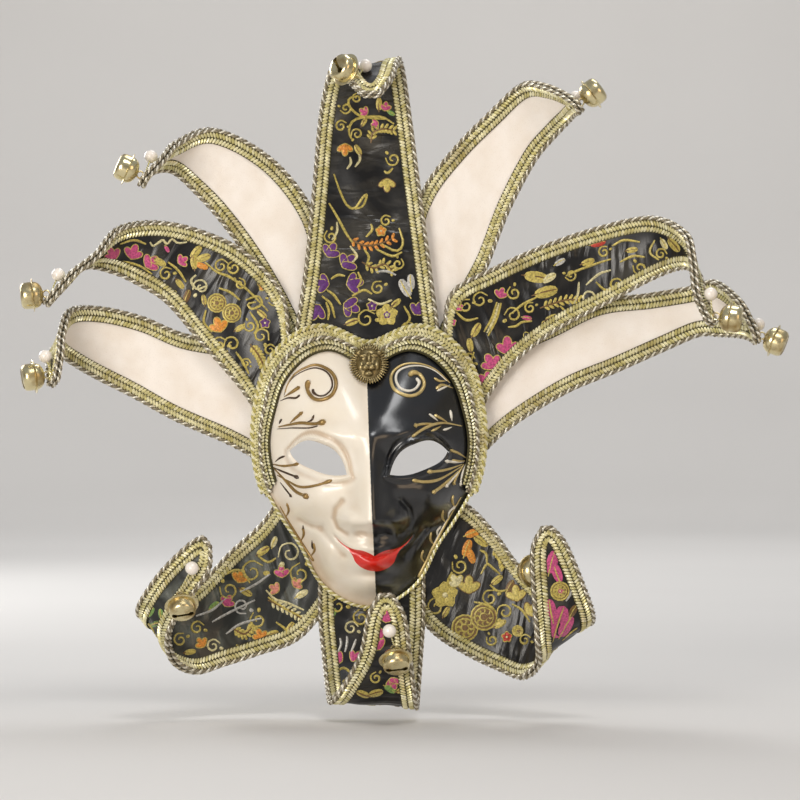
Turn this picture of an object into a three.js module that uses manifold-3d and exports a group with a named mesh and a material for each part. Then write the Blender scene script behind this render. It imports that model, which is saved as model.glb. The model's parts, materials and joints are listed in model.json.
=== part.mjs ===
// A Venetian jester mask: a papier-mache face edged with braid, seven cloth points round the crown
// and three at the collar, each point bound in braid and ending in a bell and a pearl.
// Millimetres, +Z up. The face looks along -Y. The origin is the middle of the open back, level with
// the eyes, where the wearer's face comes in.

import * as THREE from 'three';
import { mergeVertices } from 'three/addons/utils/BufferGeometryUtils.js';
import Module from 'manifold-3d';

const wasm = await Module();
wasm.setup();

// Driving dimensions

const GAP = 0.3;

const FACE = {
  centreZ: -8,
  depth: 50,
  domePower: 2.2,
  edgePower: 1.25,
  plainFrom: 0.8,
  slopeStep: 0.4,
  wall: 2.5,
  around: 40,
  rings: 11,
};

// The rim seen from the front: its distance from the face's centre, by the bearing from straight up.
const RIM_BEARING_STEP = 20;
const RIM_RADII = [90, 109, 107, 94, 85, 79, 75, 78, 95, 104];

// Raised and hollowed places of the face. Rows away from the middle are mirrored.
const RELIEF = [
  { name: 'brow', x: 31, z: 17, height: 4.5, spreadX: 24, spreadZ: 8 },
  { name: 'between brows', x: 0, z: 19, height: 3, spreadX: 12, spreadZ: 14 },
  { name: 'eye socket', x: 34, z: 1, height: -7, spreadX: 20, spreadZ: 11 },
  { name: 'cheek', x: 44, z: -31, height: 9, spreadX: 19, spreadZ: 16 },
  { name: 'nostril wing', x: 17, z: -45, height: 9.5, spreadX: 8, spreadZ: 8 },
  { name: 'mouth mound', x: 0, z: -71, height: 7, spreadX: 27, spreadZ: 17 },
  { name: 'upper lip', x: 0, z: -66, height: 3.5, spreadX: 17, spreadZ: 4.5 },
  { name: 'lower lip', x: 0, z: -77, height: 4.5, spreadX: 13, spreadZ: 5 },
  { name: 'chin', x: 0, z: -96, height: 9, spreadX: 20, spreadZ: 11 },
  { name: 'jaw beside the mouth', x: 35, z: -74, height: 4.5, spreadX: 9, spreadZ: 19 },
];

// The nose ridge rises from its root to its tip, fades out above the bridge and drops off under the tip.
const NOSE = {
  bridgeZ: 14,
  tipZ: -47,
  rootHeight: 4,
  tipHeight: 25,
  rise: 1.3,
  rootWidth: 8,
  tipWidth: 14,
  fadeAbove: 12,
  underDrop: 10,
};
// An eye hole is an almond: a high upper arc and a low lower one over a slanting line, as control heights.
const EYE = { x: 37.5, z: -2, width: 46.5, upper: 27, lower: 10, slantDegrees: 25, cutDepth: 120, steps: 7 };

const BRAID = { width: 10, thick: 1.2, lip: 0.9 };
const CLOTH = { thick: 2, hem: 1.5 };
const BROW_BRAID = { thick: 2, clear: 0.9, reachDegrees: 103, steps: 30 };
const BROW_ROWS = [
  { name: 'brow_braid_outer', from: -4, to: 6 },
  { name: 'brow_braid_inner', from: 7, to: 16 },
];
const JAW_CORD = { radius: 1.6, sides: 5, steps: 20, inset: 1, clear: 0.6, endDegrees: 1.5 };
const BELL = {
  radius: 9.4,
  wall: 0.9,
  flange: 2.2,
  slit: 3,
  slitLength: 14,
  loop: 2.6,
  loopWire: 0.6,
  loopStand: 1,
  leanLift: 0.6,
  sides: 10,
};
const PEARL = { radius: 5 };
const MEDALLION = {
  z: 70,
  y: -17.5,
  tiltDegrees: 30,
  halfWidth: 15,
  halfHeight: 18,
  rays: 22,
  rayRoot: 0.84,
  plate: 1.6,
};

// Cross sections of each point from the rim to the tip. Edge a is the left or upper edge, edge b the
// right or lower one, both as [x, y, z].
const TOP = [
  { a: [-56, 3, 80], b: [53, 3, 80] },
  { a: [-47, 6, 140], b: [45, 6, 140] },
  { a: [-41, 9, 200], b: [37, 9, 200] },
  { a: [-36, 8, 255], b: [30, 8, 255] },
  { a: [-29, -1, 287], b: [24, -1, 294] },
  { a: [-20, -20, 291], b: [20, -20, 294] },
  { a: [-14, -41, 280], b: [16, -41, 281] },
  { a: [-3, -53, 268], b: [7, -53, 268] },
];
const UPPER_LEFT = [
  { a: [-22, 8.6, 84], b: [-54, 8.6, 82] },
  { a: [-34, 15, 150], b: [-72, 13, 120] },
  { a: [-46, 18, 190], b: [-90, 16, 150] },
  { a: [-76, 18, 226], b: [-112, 17, 180] },
  { a: [-116, 8, 246], b: [-131, 13, 201] },
  { a: [-143, -11, 235], b: [-148, 3, 216] },
  { a: [-152, -29, 223], b: [-162, -17, 214] },
  { a: [-165, -43, 207], b: [-168, -37, 202] },
];
const MID_LEFT = [
  { a: [-60, 3, 84], b: [-80, 3, 30] },
  { a: [-66, 5, 122], b: [-98, 5, 56] },
  { a: [-92, 8, 152], b: [-126, 8, 88] },
  { a: [-122, 9, 168], b: [-152, 9, 118] },
  { a: [-156, 4, 176], b: [-176, 8, 133] },
  { a: [-186, -10, 171], b: [-194, 2, 141] },
  { a: [-202, -27, 151], b: [-212, -11, 144] },
  { a: [-219, -42, 136], b: [-225, -27, 130] },
  { a: [-235, -50, 117], b: [-238, -42, 114] },
];
const LOW_LEFT = [
  { a: [-60, 6.5, 72], b: [-80, 6.5, -2] },
  { a: [-96, 12, 84], b: [-106, 12, 12] },
  { a: [-140, 18, 92], b: [-145, 18, 29] },
  { a: [-172, 18, 105], b: [-178, 18, 47] },
  { a: [-203, 10, 112], b: [-207, 12, 62] },
  { a: [-223, -6, 110], b: [-226, 0, 74] },
  { a: [-228, -26, 93], b: [-234, -12, 82] },
  { a: [-228, -40, 78], b: [-236, -30, 69] },
  { a: [-230, -51, 58], b: [-234, -45, 54] },
];
const UPPER_RIGHT = [
  { a: [22, 8.6, 84], b: [55, 8.6, 80] },
  { a: [30, 15, 160], b: [74, 13, 118] },
  { a: [42, 18, 202], b: [88, 16, 145] },
  { a: [66, 19, 234], b: [104, 18, 186] },
  { a: [92, 15, 260], b: [124, 15, 224] },
  { a: [114, 4, 279], b: [139, 7, 242] },
  { a: [130, -14, 277], b: [149, -5, 252] },
  { a: [145, -30, 269], b: [154, -22, 257] },
  { a: [154, -42, 261], b: [157, -38, 257] },
];
const MID_RIGHT = [
  { a: [57, 3, 82], b: [79, 3, 30] },
  { a: [62, 5, 122], b: [92, 5, 52] },
  { a: [93, 8, 141], b: [110, 8, 74] },
  { a: [133, 9, 159], b: [140, 9, 97] },
  { a: [176, 6, 173], b: [178, 8, 117] },
  { a: [212, -6, 179], b: [212, 2, 135] },
  { a: [234, -26, 167], b: [234, -12, 143] },
  { a: [239, -42, 148], b: [243, -30, 138] },
  { a: [241, -57, 122], b: [247, -47, 118] },
  { a: [249, -65, 101], b: [254, -58, 99] },
];
const LOW_RIGHT = [
  { a: [62, 7, 74], b: [80, 7, 0] },
  { a: [98, 14, 84], b: [106, 14, 24] },
  { a: [136, 18, 100], b: [148, 18, 50] },
  { a: [172, 19, 117], b: [186, 19, 66] },
  { a: [210, 16, 122], b: [222, 17, 82] },
  { a: [241, 8, 127], b: [248, 10, 93] },
  { a: [258, -6, 131], b: [264, 0, 93] },
  { a: [274, -26, 117], b: [276, -16, 92] },
  { a: [281, -38, 103], b: [283, -30, 90] },
  { a: [286, -46, 91], b: [287, -41, 86] },
];
const COLLAR_LEFT = [
  { a: [-66, 9, -30], b: [-24, 9, -100] },
  { a: [-80, 10, -50], b: [-52, 10.5, -134] },
  { a: [-104, 10, -72], b: [-82, 8, -146] },
  { a: [-126, 6, -95], b: [-108, 2, -154] },
  { a: [-150, -4, -113], b: [-128, -10, -159] },
  { a: [-166, -22, -118], b: [-144, -28, -150] },
  { a: [-168, -42, -108], b: [-148, -46, -130] },
  { a: [-152, -56, -84], b: [-137, -58, -108] },
  { a: [-132, -62, -64], b: [-118, -64, -82] },
  { a: [-121, -64, -57], b: [-116, -64, -63] },
];
const COLLAR_CENTRE = [
  { a: [-36, 3, -84], b: [40, 3, -86] },
  { a: [-36, 4, -118], b: [40, 4, -120] },
  { a: [-33, 0, -150], b: [38, 0, -152] },
  { a: [-30, -14, -173], b: [36, -14, -177] },
  { a: [-27, -34, -179], b: [35, -34, -183] },
  { a: [-18, -50, -168], b: [33, -52, -170] },
  { a: [-5, -60, -143], b: [30, -62, -146] },
  { a: [1, -66, -114], b: [26, -67, -116] },
  { a: [9, -68, -99], b: [17, -68, -99] },
];
const COLLAR_RIGHT = [
  { a: [64, 9, -30], b: [24, 9, -100] },
  { a: [80, 10, -42], b: [48, 10.5, -130] },
  { a: [96, 10, -60], b: [74, 8, -147] },
  { a: [112, 7, -82], b: [98, 2, -158] },
  { a: [138, -2, -108], b: [114, -12, -163] },
  { a: [160, -20, -122], b: [126, -28, -152] },
  { a: [165, -40, -115], b: [125, -46, -132] },
  { a: [157, -54, -92], b: [122, -56, -98] },
  { a: [144, -60, -62], b: [121, -60, -66] },
  { a: [134, -62, -50], b: [128, -62, -50] },
];

const POINTS = [
  { name: 'top', rows: TOP, cloth: 'brocade' },
  { name: 'upper_left', rows: UPPER_LEFT, cloth: 'cream' },
  { name: 'mid_left', rows: MID_LEFT, cloth: 'brocade' },
  { name: 'low_left', rows: LOW_LEFT, cloth: 'cream' },
  { name: 'upper_right', rows: UPPER_RIGHT, cloth: 'cream' },
  { name: 'mid_right', rows: MID_RIGHT, cloth: 'brocade' },
  { name: 'low_right', rows: LOW_RIGHT, cloth: 'cream' },
  { name: 'collar_left', rows: COLLAR_LEFT, cloth: 'brocade' },
  { name: 'collar_centre', rows: COLLAR_CENTRE, cloth: 'brocade' },
  { name: 'collar_right', rows: COLLAR_RIGHT, cloth: 'brocade' },
];

// The bell's loop and the pearl are sewn on near the tip, each at a share of the length and of the width.
// The bell stands out along its axis. Face -1 is the back of the point, 1 the front, inside the curl.
const TRIM = {
  top: { bell: [0.86, 0.18], axis: [-0.68, -0.66, 0.32], pearl: [0.8, 0.42], on: 'cloth', face: -1 },
  upper_left: { bell: [0.97, 0.5], axis: [-0.9, -0.1, 0.4], pearl: [0.85, 0.5], on: 'braid', face: -1 },
  mid_left: { bell: [0.97, 0.5], axis: [-1, -0.1, -0.1], pearl: [0.89, 0.5], on: 'braid', face: -1 },
  low_left: { bell: [0.96, 0.5], axis: [-0.95, -0.25, -0.15], pearl: [0.88, 0.5], on: 'braid', face: -1 },
  upper_right: { bell: [0.95, 0.5], axis: [0.8, 0, 0.6], pearl: [0.86, 0.5], on: 'braid', face: -1 },
  mid_right: { bell: [0.98, 0.5], axis: [1, -0.15, -0.15], pearl: [0.9, 0.5], on: 'braid', face: -1 },
  low_right: { bell: [0.97, 0.5], axis: [0.85, -0.2, -0.35], pearl: [0.88, 0.5], on: 'braid', face: -1 },
  collar_left: { bell: [0.8, 0.75], axis: [0.15, -0.65, -0.75], pearl: [0.87, 0.6], on: 'braid', face: -1 },
  collar_centre: { bell: [0.79, 0.7], axis: [0.1, -0.62, -0.78], pearl: [0.84, 0.6], on: 'braid', face: -1 },
  collar_right: { bell: [0.83, 0.8], axis: [-0.5, 0.85, -0.1], pearl: [0.9, 0.5], on: 'braid', face: 1 },
};

const FINISH = {
  papier: { color: 0xeee6da, roughness: 0.3, metalness: 0 },
  brocade: { color: 0x1a1618, roughness: 0.55, metalness: 0 },
  cream: { color: 0xe8ddcf, roughness: 0.85, metalness: 0 },
  braid: { color: 0xc8bc7a, roughness: 0.45, metalness: 0.6 },
  brass: { color: 0xcdbf7c, roughness: 0.25, metalness: 1 },
  bronze: { color: 0x8a6f3c, roughness: 0.4, metalness: 1 },
  pearl: { color: 0xf6f1ea, roughness: 0.2, metalness: 0 },
};

const mask = new THREE.Group();

// Joining, cutting and naming

function solidOf(geometry) {
  const bare = geometry.index ? geometry.toNonIndexed() : geometry.clone();
  bare.deleteAttribute('normal');
  bare.deleteAttribute('uv');
  const merged = mergeVertices(bare, 1e-4);
  const vertProperties = new Float32Array(merged.attributes.position.array);
  const triVerts = new Uint32Array(merged.index.array);
  return new wasm.Manifold(new wasm.Mesh({ numProp: 3, vertProperties, triVerts }));
}

function geometryOf(solid) {
  const mesh = solid.getMesh();
  const geometry = new THREE.BufferGeometry();
  geometry.setAttribute('position', new THREE.BufferAttribute(mesh.vertProperties, 3));
  geometry.setIndex(new THREE.BufferAttribute(mesh.triVerts, 1));
  geometry.computeVertexNormals();
  return geometry;
}

function geometryFrom(vertices, triangles) {
  const geometry = new THREE.BufferGeometry();
  const flat = vertices.flatMap((vertex) => vertex.toArray());
  geometry.setAttribute('position', new THREE.Float32BufferAttribute(flat, 3));
  geometry.setIndex(triangles.flat());
  geometry.computeVertexNormals();
  return geometry;
}

function addPiece(name, geometry, finish) {
  const piece = new THREE.Mesh(geometry, new THREE.MeshStandardMaterial(FINISH[finish]));
  piece.name = name;
  mask.add(piece);
  return piece;
}

// The face: a dome over the rim with the features laid on it

const radians = THREE.MathUtils.degToRad;

function rimRadius(bearing) {
  const last = RIM_RADII.length - 1;
  const place = Math.abs(THREE.MathUtils.radToDeg(bearing)) / RIM_BEARING_STEP;
  const low = Math.min(Math.floor(place), last - 1);
  const at = (index) => RIM_RADII[index < 0 ? -index : index > last ? 2 * last - index : index];
  const u = place - low;
  const before = at(low - 1);
  const start = at(low);
  const end = at(low + 1);
  const after = at(low + 2);
  const slopeIn = (end - before) / 2;
  const slopeOut = (after - start) / 2;
  const cubic = 2 * (start - end) + slopeIn + slopeOut;
  const square = 3 * (end - start) - 2 * slopeIn - slopeOut;
  return ((cubic * u + square) * u + slopeIn) * u + start;
}

function noseHeight(x, z) {
  const down = (NOSE.bridgeZ - z) / (NOSE.bridgeZ - NOSE.tipZ);
  const along = THREE.MathUtils.clamp(down, 0, 1);
  const width = THREE.MathUtils.lerp(NOSE.rootWidth, NOSE.tipWidth, along);
  const ridge = THREE.MathUtils.lerp(NOSE.rootHeight, NOSE.tipHeight, along ** NOSE.rise);
  const above = Math.exp(-((Math.max(z - NOSE.bridgeZ, 0) / NOSE.fadeAbove) ** 2));
  const below = 1 - THREE.MathUtils.smoothstep(NOSE.tipZ - z, 0, NOSE.underDrop);
  return ridge * above * below * Math.exp(-((x / width) ** 2));
}

function bump(row, x, z) {
  const away = (side) => ((x - side * row.x) / row.spreadX) ** 2 + ((z - row.z) / row.spreadZ) ** 2;
  const one = (side) => Math.exp(-away(side));
  return row.height * (row.x === 0 ? one(1) : one(1) + one(-1));
}

function faceForward(x, z) {
  const up = z - FACE.centreZ;
  const share = Math.hypot(x, up) / rimRadius(Math.atan2(x, up));
  const dome = FACE.depth * Math.max(1 - share ** FACE.domePower, 0) ** FACE.edgePower;
  const relief = RELIEF.reduce((sum, row) => sum + bump(row, x, z), noseHeight(x, z));
  return dome + relief * (1 - THREE.MathUtils.smoothstep(share, FACE.plainFrom, 1));
}

function faceSpot(bearing, radius, lift) {
  const step = FACE.slopeStep;
  const x = radius * Math.sin(bearing);
  const z = FACE.centreZ + radius * Math.cos(bearing);
  const slopeX = (faceForward(x + step, z) - faceForward(x - step, z)) / (2 * step);
  const slopeZ = (faceForward(x, z + step) - faceForward(x, z - step)) / (2 * step);
  const normal = new THREE.Vector3(-slopeX, -1, -slopeZ).normalize();
  return new THREE.Vector3(x, -faceForward(x, z), z).addScaledVector(normal, lift);
}

function faceShell() {
  const vertices = [];
  const triangles = [];
  const layer = (lift) => {
    const start = vertices.length;
    vertices.push(faceSpot(0, 0, lift));
    for (let ring = 1; ring <= FACE.rings; ring += 1) {
      for (let step = 0; step < FACE.around; step += 1) {
        const turn = (1 - (step / FACE.around) * 2) * Math.PI;
        const rim = rimRadius(turn);
        const radius = (rim * ring) / FACE.rings;
        const onRim = ring === FACE.rings;
        const spot = onRim ? faceSpot(turn, radius + lift, 0).setY(0) : faceSpot(turn, radius, lift);
        spot.y = Math.min(spot.y, 0);
        vertices.push(spot);
      }
    }
    return start;
  };
  const outer = layer(0);
  const inner = layer(-FACE.wall);
  const at = (start, ring, step) => start + 1 + (ring - 1) * FACE.around + (step % FACE.around);
  for (let step = 0; step < FACE.around; step += 1) {
    triangles.push([outer, at(outer, 1, step), at(outer, 1, step + 1)]);
    triangles.push([inner, at(inner, 1, step + 1), at(inner, 1, step)]);
    for (let ring = 1; ring < FACE.rings; ring += 1) {
      const [a, b] = [at(outer, ring, step), at(outer, ring, step + 1)];
      const [c, d] = [at(outer, ring + 1, step + 1), at(outer, ring + 1, step)];
      triangles.push([a, d, c], [a, c, b]);
      const [e, f] = [at(inner, ring, step), at(inner, ring, step + 1)];
      const [g, h] = [at(inner, ring + 1, step + 1), at(inner, ring + 1, step)];
      triangles.push([e, g, h], [e, f, g]);
    }
    const rimOuter = [at(outer, FACE.rings, step), at(outer, FACE.rings, step + 1)];
    const rimInner = [at(inner, FACE.rings, step), at(inner, FACE.rings, step + 1)];
    triangles.push([rimOuter[0], rimInner[0], rimInner[1]], [rimOuter[0], rimInner[1], rimOuter[1]]);
  }
  return geometryFrom(vertices, triangles);
}

function eyeHole(side) {
  const almond = new THREE.Shape();
  almond.moveTo(-EYE.width / 2, 0);
  almond.quadraticCurveTo(0, EYE.upper, EYE.width / 2, 0);
  almond.quadraticCurveTo(0, -EYE.lower, -EYE.width / 2, 0);
  const cut = { depth: EYE.cutDepth, bevelEnabled: false, curveSegments: EYE.steps };
  const hole = new THREE.ExtrudeGeometry(almond, cut);
  hole.rotateZ(side * radians(EYE.slantDegrees));
  hole.rotateX(Math.PI / 2);
  hole.translate(side * EYE.x, 0, EYE.z);
  return hole;
}

const eyes = [-1, 1].map((side) => solidOf(eyeHole(side)));
const pierced = eyes.reduce((shell, hole) => shell.subtract(hole), solidOf(faceShell()));
addPiece('face_shell', geometryOf(pierced), 'papier');

// Braid rows round the brow, and the thin cord along the jaw

function browBraid(row) {
  const vertices = [];
  const triangles = [];
  const corners = [
    [row.from, BROW_BRAID.clear],
    [row.to, BROW_BRAID.clear],
    [row.to, BROW_BRAID.clear + BROW_BRAID.thick],
    [row.from, BROW_BRAID.clear + BROW_BRAID.thick],
  ];
  for (let step = 0; step <= BROW_BRAID.steps; step += 1) {
    const bearing = radians(BROW_BRAID.reachDegrees) * (1 - (step / BROW_BRAID.steps) * 2);
    corners.forEach(([inset, lift]) => vertices.push(faceSpot(bearing, rimRadius(bearing) - inset, lift)));
  }
  const count = corners.length;
  for (let step = 0; step < BROW_BRAID.steps; step += 1) {
    for (let corner = 0; corner < count; corner += 1) {
      const a = step * count + corner;
      const b = step * count + ((corner + 1) % count);
      triangles.push([a, b, b + count], [a, b + count, a + count]);
    }
  }
  const end = BROW_BRAID.steps * count;
  triangles.push([0, 2, 1], [0, 3, 2], [end, end + 1, end + 2], [end, end + 2, end + 3]);
  return geometryFrom(vertices, triangles);
}

function jawCord() {
  const reach = Math.PI - radians(BROW_BRAID.reachDegrees + JAW_CORD.endDegrees);
  const spots = [];
  for (let step = 0; step <= JAW_CORD.steps; step += 1) {
    const bearing = Math.PI + reach * ((step / JAW_CORD.steps) * 2 - 1);
    const turn = bearing > Math.PI ? bearing - 2 * Math.PI : bearing;
    spots.push(faceSpot(turn, rimRadius(turn) - JAW_CORD.inset, JAW_CORD.radius + JAW_CORD.clear));
  }
  const section = new THREE.Shape();
  section.setFromPoints(
    Array.from({ length: JAW_CORD.sides }, (_, side) => {
      const turn = (side / JAW_CORD.sides) * 2 * Math.PI;
      return new THREE.Vector2(Math.cos(turn), Math.sin(turn)).multiplyScalar(JAW_CORD.radius);
    }),
  );
  const extrudePath = new THREE.CatmullRomCurve3(spots);
  return new THREE.ExtrudeGeometry(section, { steps: JAW_CORD.steps, extrudePath, bevelEnabled: false });
}

BROW_ROWS.forEach((row) => addPiece(row.name, browBraid(row), 'braid'));
addPiece('jaw_cord', jawCord(), 'braid');

// The cast lion head on the forehead: a rayed plate with a raised muzzle, brow and ears

const LION = [
  { name: 'head', x: 0, z: 0, out: 0, rx: 8.5, rz: 9.5, ry: 5 },
  { name: 'muzzle', x: 0, z: -4, out: 3, rx: 4.8, rz: 4.6, ry: 4.2 },
  { name: 'nose', x: 0, z: -1.5, out: 6, rx: 1.8, rz: 3.6, ry: 1.8 },
  { name: 'left ear', x: -6.5, z: 7.5, out: 1, rx: 2.6, rz: 2.6, ry: 2.4 },
  { name: 'right ear', x: 6.5, z: 7.5, out: 1, rx: 2.6, rz: 2.6, ry: 2.4 },
];

function lionMedallion() {
  const outline = new THREE.Shape();
  const tips = Array.from({ length: 2 * MEDALLION.rays }, (_, index) => {
    const turn = (index / MEDALLION.rays) * Math.PI;
    const reach = index % 2 === 0 ? 1 : MEDALLION.rayRoot;
    const across = MEDALLION.halfWidth * Math.sin(turn);
    const up = MEDALLION.halfHeight * Math.cos(turn);
    return new THREE.Vector2(across, up).multiplyScalar(reach);
  });
  outline.setFromPoints(tips);
  const plate = new THREE.ExtrudeGeometry(outline, { depth: MEDALLION.plate, bevelEnabled: false });
  const raised = LION.map((row) => {
    const lump = new THREE.SphereGeometry(1, 8, 5);
    lump.scale(row.rx, row.rz, row.ry);
    lump.translate(row.x, row.z, MEDALLION.plate + row.out);
    return solidOf(lump);
  });
  const [wide, high] = [2 * MEDALLION.halfWidth, 2 * MEDALLION.halfHeight];
  const behind = new THREE.BoxGeometry(wide, high, wide).translate(0, 0, -wide / 2);
  const whole = raised.reduce((sum, lump) => sum.add(lump), solidOf(plate));
  return geometryOf(whole.subtract(solidOf(behind)));
}

const medallion = addPiece('lion_medallion', lionMedallion(), 'bronze');
medallion.position.set(0, MEDALLION.y, MEDALLION.z);
medallion.rotation.x = Math.PI / 2 - radians(MEDALLION.tiltDegrees);

// A point: a ruled strip between its two edges. A stretch that turns sharply gets a station halfway.

const TIP_END = 0.985;
const SLOT_END = 0.988;
const STATION_STEP = 0.004;
const STATION_TURN = 38;

function stripBetween(rows) {
  const edge = (key) => {
    const corners = rows.map((row) => new THREE.Vector3(...row[key]));
    const curve = new THREE.CatmullRomCurve3(corners, false, 'catmullrom', 0.5);
    return (s) => curve.getPoint(s);
  };
  const edgeA = edge('a');
  const edgeB = edge('b');
  const spot = (s, t) => edgeA(s).lerp(edgeB(s), t);
  const width = (s) => edgeA(s).distanceTo(edgeB(s));
  const cross = (s, t) => {
    const step = 0.002;
    const middle = THREE.MathUtils.clamp(s, step, 1 - step);
    const along = spot(middle + step, t).sub(spot(middle - step, t));
    return along.cross(edgeB(s).sub(edgeA(s))).normalize();
  };
  const front = cross(0.1, 0.5).y < 0 ? 1 : -1;
  const normal = (s, t) => cross(s, t).multiplyScalar(front);
  let closing = 1;
  while (width(closing) < 2 * BRAID.width) closing -= STATION_STEP;
  const spread = rows.map((_, index) => index / (rows.length - 1));
  const apart = spread.filter((s) => Math.abs(s - closing) > STATION_STEP);
  const ruled = [...apart, closing].sort((s, t) => s - t);
  const turn = (s, u) => Math.max(...[0, 1].map((t) => normal(s, t).angleTo(normal(u, t))));
  const halfway = ruled.slice(1).flatMap((s, index) => {
    return turn(ruled[index], s) > radians(STATION_TURN) ? [(ruled[index] + s) / 2] : [];
  });
  const stations = [...ruled, ...halfway].sort((s, t) => s - t);
  const stationsTo = (end) => [...stations.filter((s) => s < end - STATION_STEP), end];
  const seat = (s, t, lift) => {
    const next = stations.findIndex((station) => station > s);
    const share = (s - stations[next - 1]) / (stations[next] - stations[next - 1]);
    const place = spot(stations[next - 1], t).lerp(spot(stations[next], t), share);
    const facing = normal(stations[next - 1], t).lerp(normal(stations[next], t), share).normalize();
    return { place: place.addScaledVector(facing, lift), facing: facing.multiplyScalar(Math.sign(lift)) };
  };
  return { spot, width, normal, front, closing, stationsTo, seat };
}

// A line along the strip: inset from one edge (0 is edge a, 1 is edge b) and lifted off the middle surface.
function lineOn(strip, side, inset, height) {
  return (s) => {
    const share = s >= strip.closing && inset >= BRAID.width ? 0.5 : Math.min(inset / strip.width(s), 0.5);
    const t = side === 0 ? share : 1 - share;
    return strip.spot(s, t).addScaledVector(strip.normal(s, t), height);
  };
}

// A band between two lines. On both sides of a slot each quad is cut along the same diagonal, from its outer
// line to its inner one, so the two faces stay parallel where the strip twists.
function bandQuads(lineP, lineQ, stations, inward = true) {
  return stations.slice(1).map((s, index) => {
    const before = stations[index];
    const quad = [lineP(before), lineP(s), lineQ(s), lineQ(before)];
    return inward ? quad : [...quad.slice(1), quad[0]];
  });
}

function skinOf(quads, flip) {
  const corners = quads.flatMap(([p, q, r, s]) => (flip ? [p, r, q, p, s, r] : [p, q, r, p, r, s]));
  const kept = [];
  for (let index = 0; index < corners.length; index += 3) {
    const [p, q, r] = corners.slice(index, index + 3);
    const same = (u, v) => u.distanceTo(v) < 1e-3;
    if (!same(p, q) && !same(q, r) && !same(r, p)) kept.push(p, q, r);
  }
  const geometry = new THREE.BufferGeometry().setFromPoints(kept);
  const merged = mergeVertices(geometry, 1e-3);
  merged.computeVertexNormals();
  return merged;
}

const reversed = (quads) => quads.map(([p, q, r, s]) => [p, s, r, q]);

function clothPanel(strip) {
  const half = CLOTH.thick / 2;
  const stations = strip.stationsTo(TIP_END);
  const line = (side, inset, height) => lineOn(strip, side, inset, height);
  const quads = [0, 1].flatMap((side) => {
    const front = bandQuads(line(side, CLOTH.hem, half), line(side, BRAID.width, half), stations);
    const back = bandQuads(line(side, BRAID.width, -half), line(side, CLOTH.hem, -half), stations, false);
    const hem = bandQuads(line(side, CLOTH.hem, -half), line(side, CLOTH.hem, half), stations);
    const bands = [...front, ...back, ...hem];
    return side === 0 ? bands : reversed(bands);
  });
  quads.push(...bandQuads(line(0, BRAID.width, half), line(1, BRAID.width, half), stations));
  quads.push(...reversed(bandQuads(line(0, BRAID.width, -half), line(1, BRAID.width, -half), stations)));
  const insets = [[0, CLOTH.hem], [0, BRAID.width], [1, BRAID.width], [1, CLOTH.hem]];
  const endAt = (s) => insets.slice(1).map((_, index) => {
    const at = (place, height) => line(...insets[place], height)(s);
    return [at(index, half), at(index + 1, half), at(index + 1, -half), at(index, -half)];
  });
  quads.push(...endAt(0), ...reversed(endAt(TIP_END)));
  return skinOf(quads, strip.front < 0);
}

function edgeBraid(strip) {
  const low = CLOTH.thick / 2 + GAP;
  const high = low + BRAID.thick;
  const open = strip.stationsTo(strip.closing);
  const quads = [0, 1].flatMap((side) => {
    const line = (inset, height) => lineOn(strip, side, inset, height);
    const profile = [
      line(0, high), line(BRAID.width, high), line(BRAID.width, low), line(BRAID.lip, low),
      line(BRAID.lip, -low), line(BRAID.width, -low), line(BRAID.width, -high), line(0, -high),
    ];
    const reach = [1, strip.closing, SLOT_END, SLOT_END, SLOT_END, strip.closing, 1, 1];
    const inward = [true, true, false, true, true, true, false, true];
    const bands = profile.flatMap((from, index) => {
      const to = profile[(index + 1) % profile.length];
      const stations = reach[index] === strip.closing ? open : strip.stationsTo(reach[index]);
      return bandQuads(from, to, stations, inward[index]);
    });
    const [a, b, c, d, e, f, g, h] = profile.map((corner) => corner(0));
    const caps = [[a, b, c, d], [a, d, e, h], [h, e, f, g]];
    const outerEnd = [profile[0](1), profile[7](1), profile[6](1), profile[1](1)];
    const slotEnd = [profile[3](SLOT_END), profile[2](SLOT_END), profile[5](SLOT_END), profile[4](SLOT_END)];
    const whole = [...bands, ...caps, outerEnd, slotEnd];
    return side === 0 ? whole : reversed(whole);
  });
  return skinOf(quads, strip.front < 0);
}

function jingleBell() {
  const arc = (radius, degrees) => {
    const turn = radians(degrees);
    return new THREE.Vector2(degrees % 180 === 0 ? 0 : radius * Math.sin(turn), radius * Math.cos(turn));
  };
  const skin = [0, 38, 74, 90, 106, 142, 180].map((degrees) => {
    return arc(degrees === 90 ? BELL.radius + BELL.flange : BELL.radius, degrees);
  });
  const hollow = [0, 60, 120, 180].map((degrees) => arc(BELL.radius - BELL.wall, degrees));
  const outside = solidOf(new THREE.LatheGeometry(skin.reverse(), BELL.sides));
  const inside = solidOf(new THREE.LatheGeometry(hollow.reverse(), BELL.sides));
  const slit = new THREE.BoxGeometry(BELL.slit, BELL.radius, BELL.slitLength);
  slit.translate(0, -BELL.radius, 0);
  const loop = new THREE.TorusGeometry(BELL.loop - BELL.loopWire, BELL.loopWire, 3, 7);
  loop.translate(0, BELL.radius + BELL.loopStand, 0);
  return geometryOf(outside.add(solidOf(loop)).subtract(inside).subtract(solidOf(slit)));
}

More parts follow.
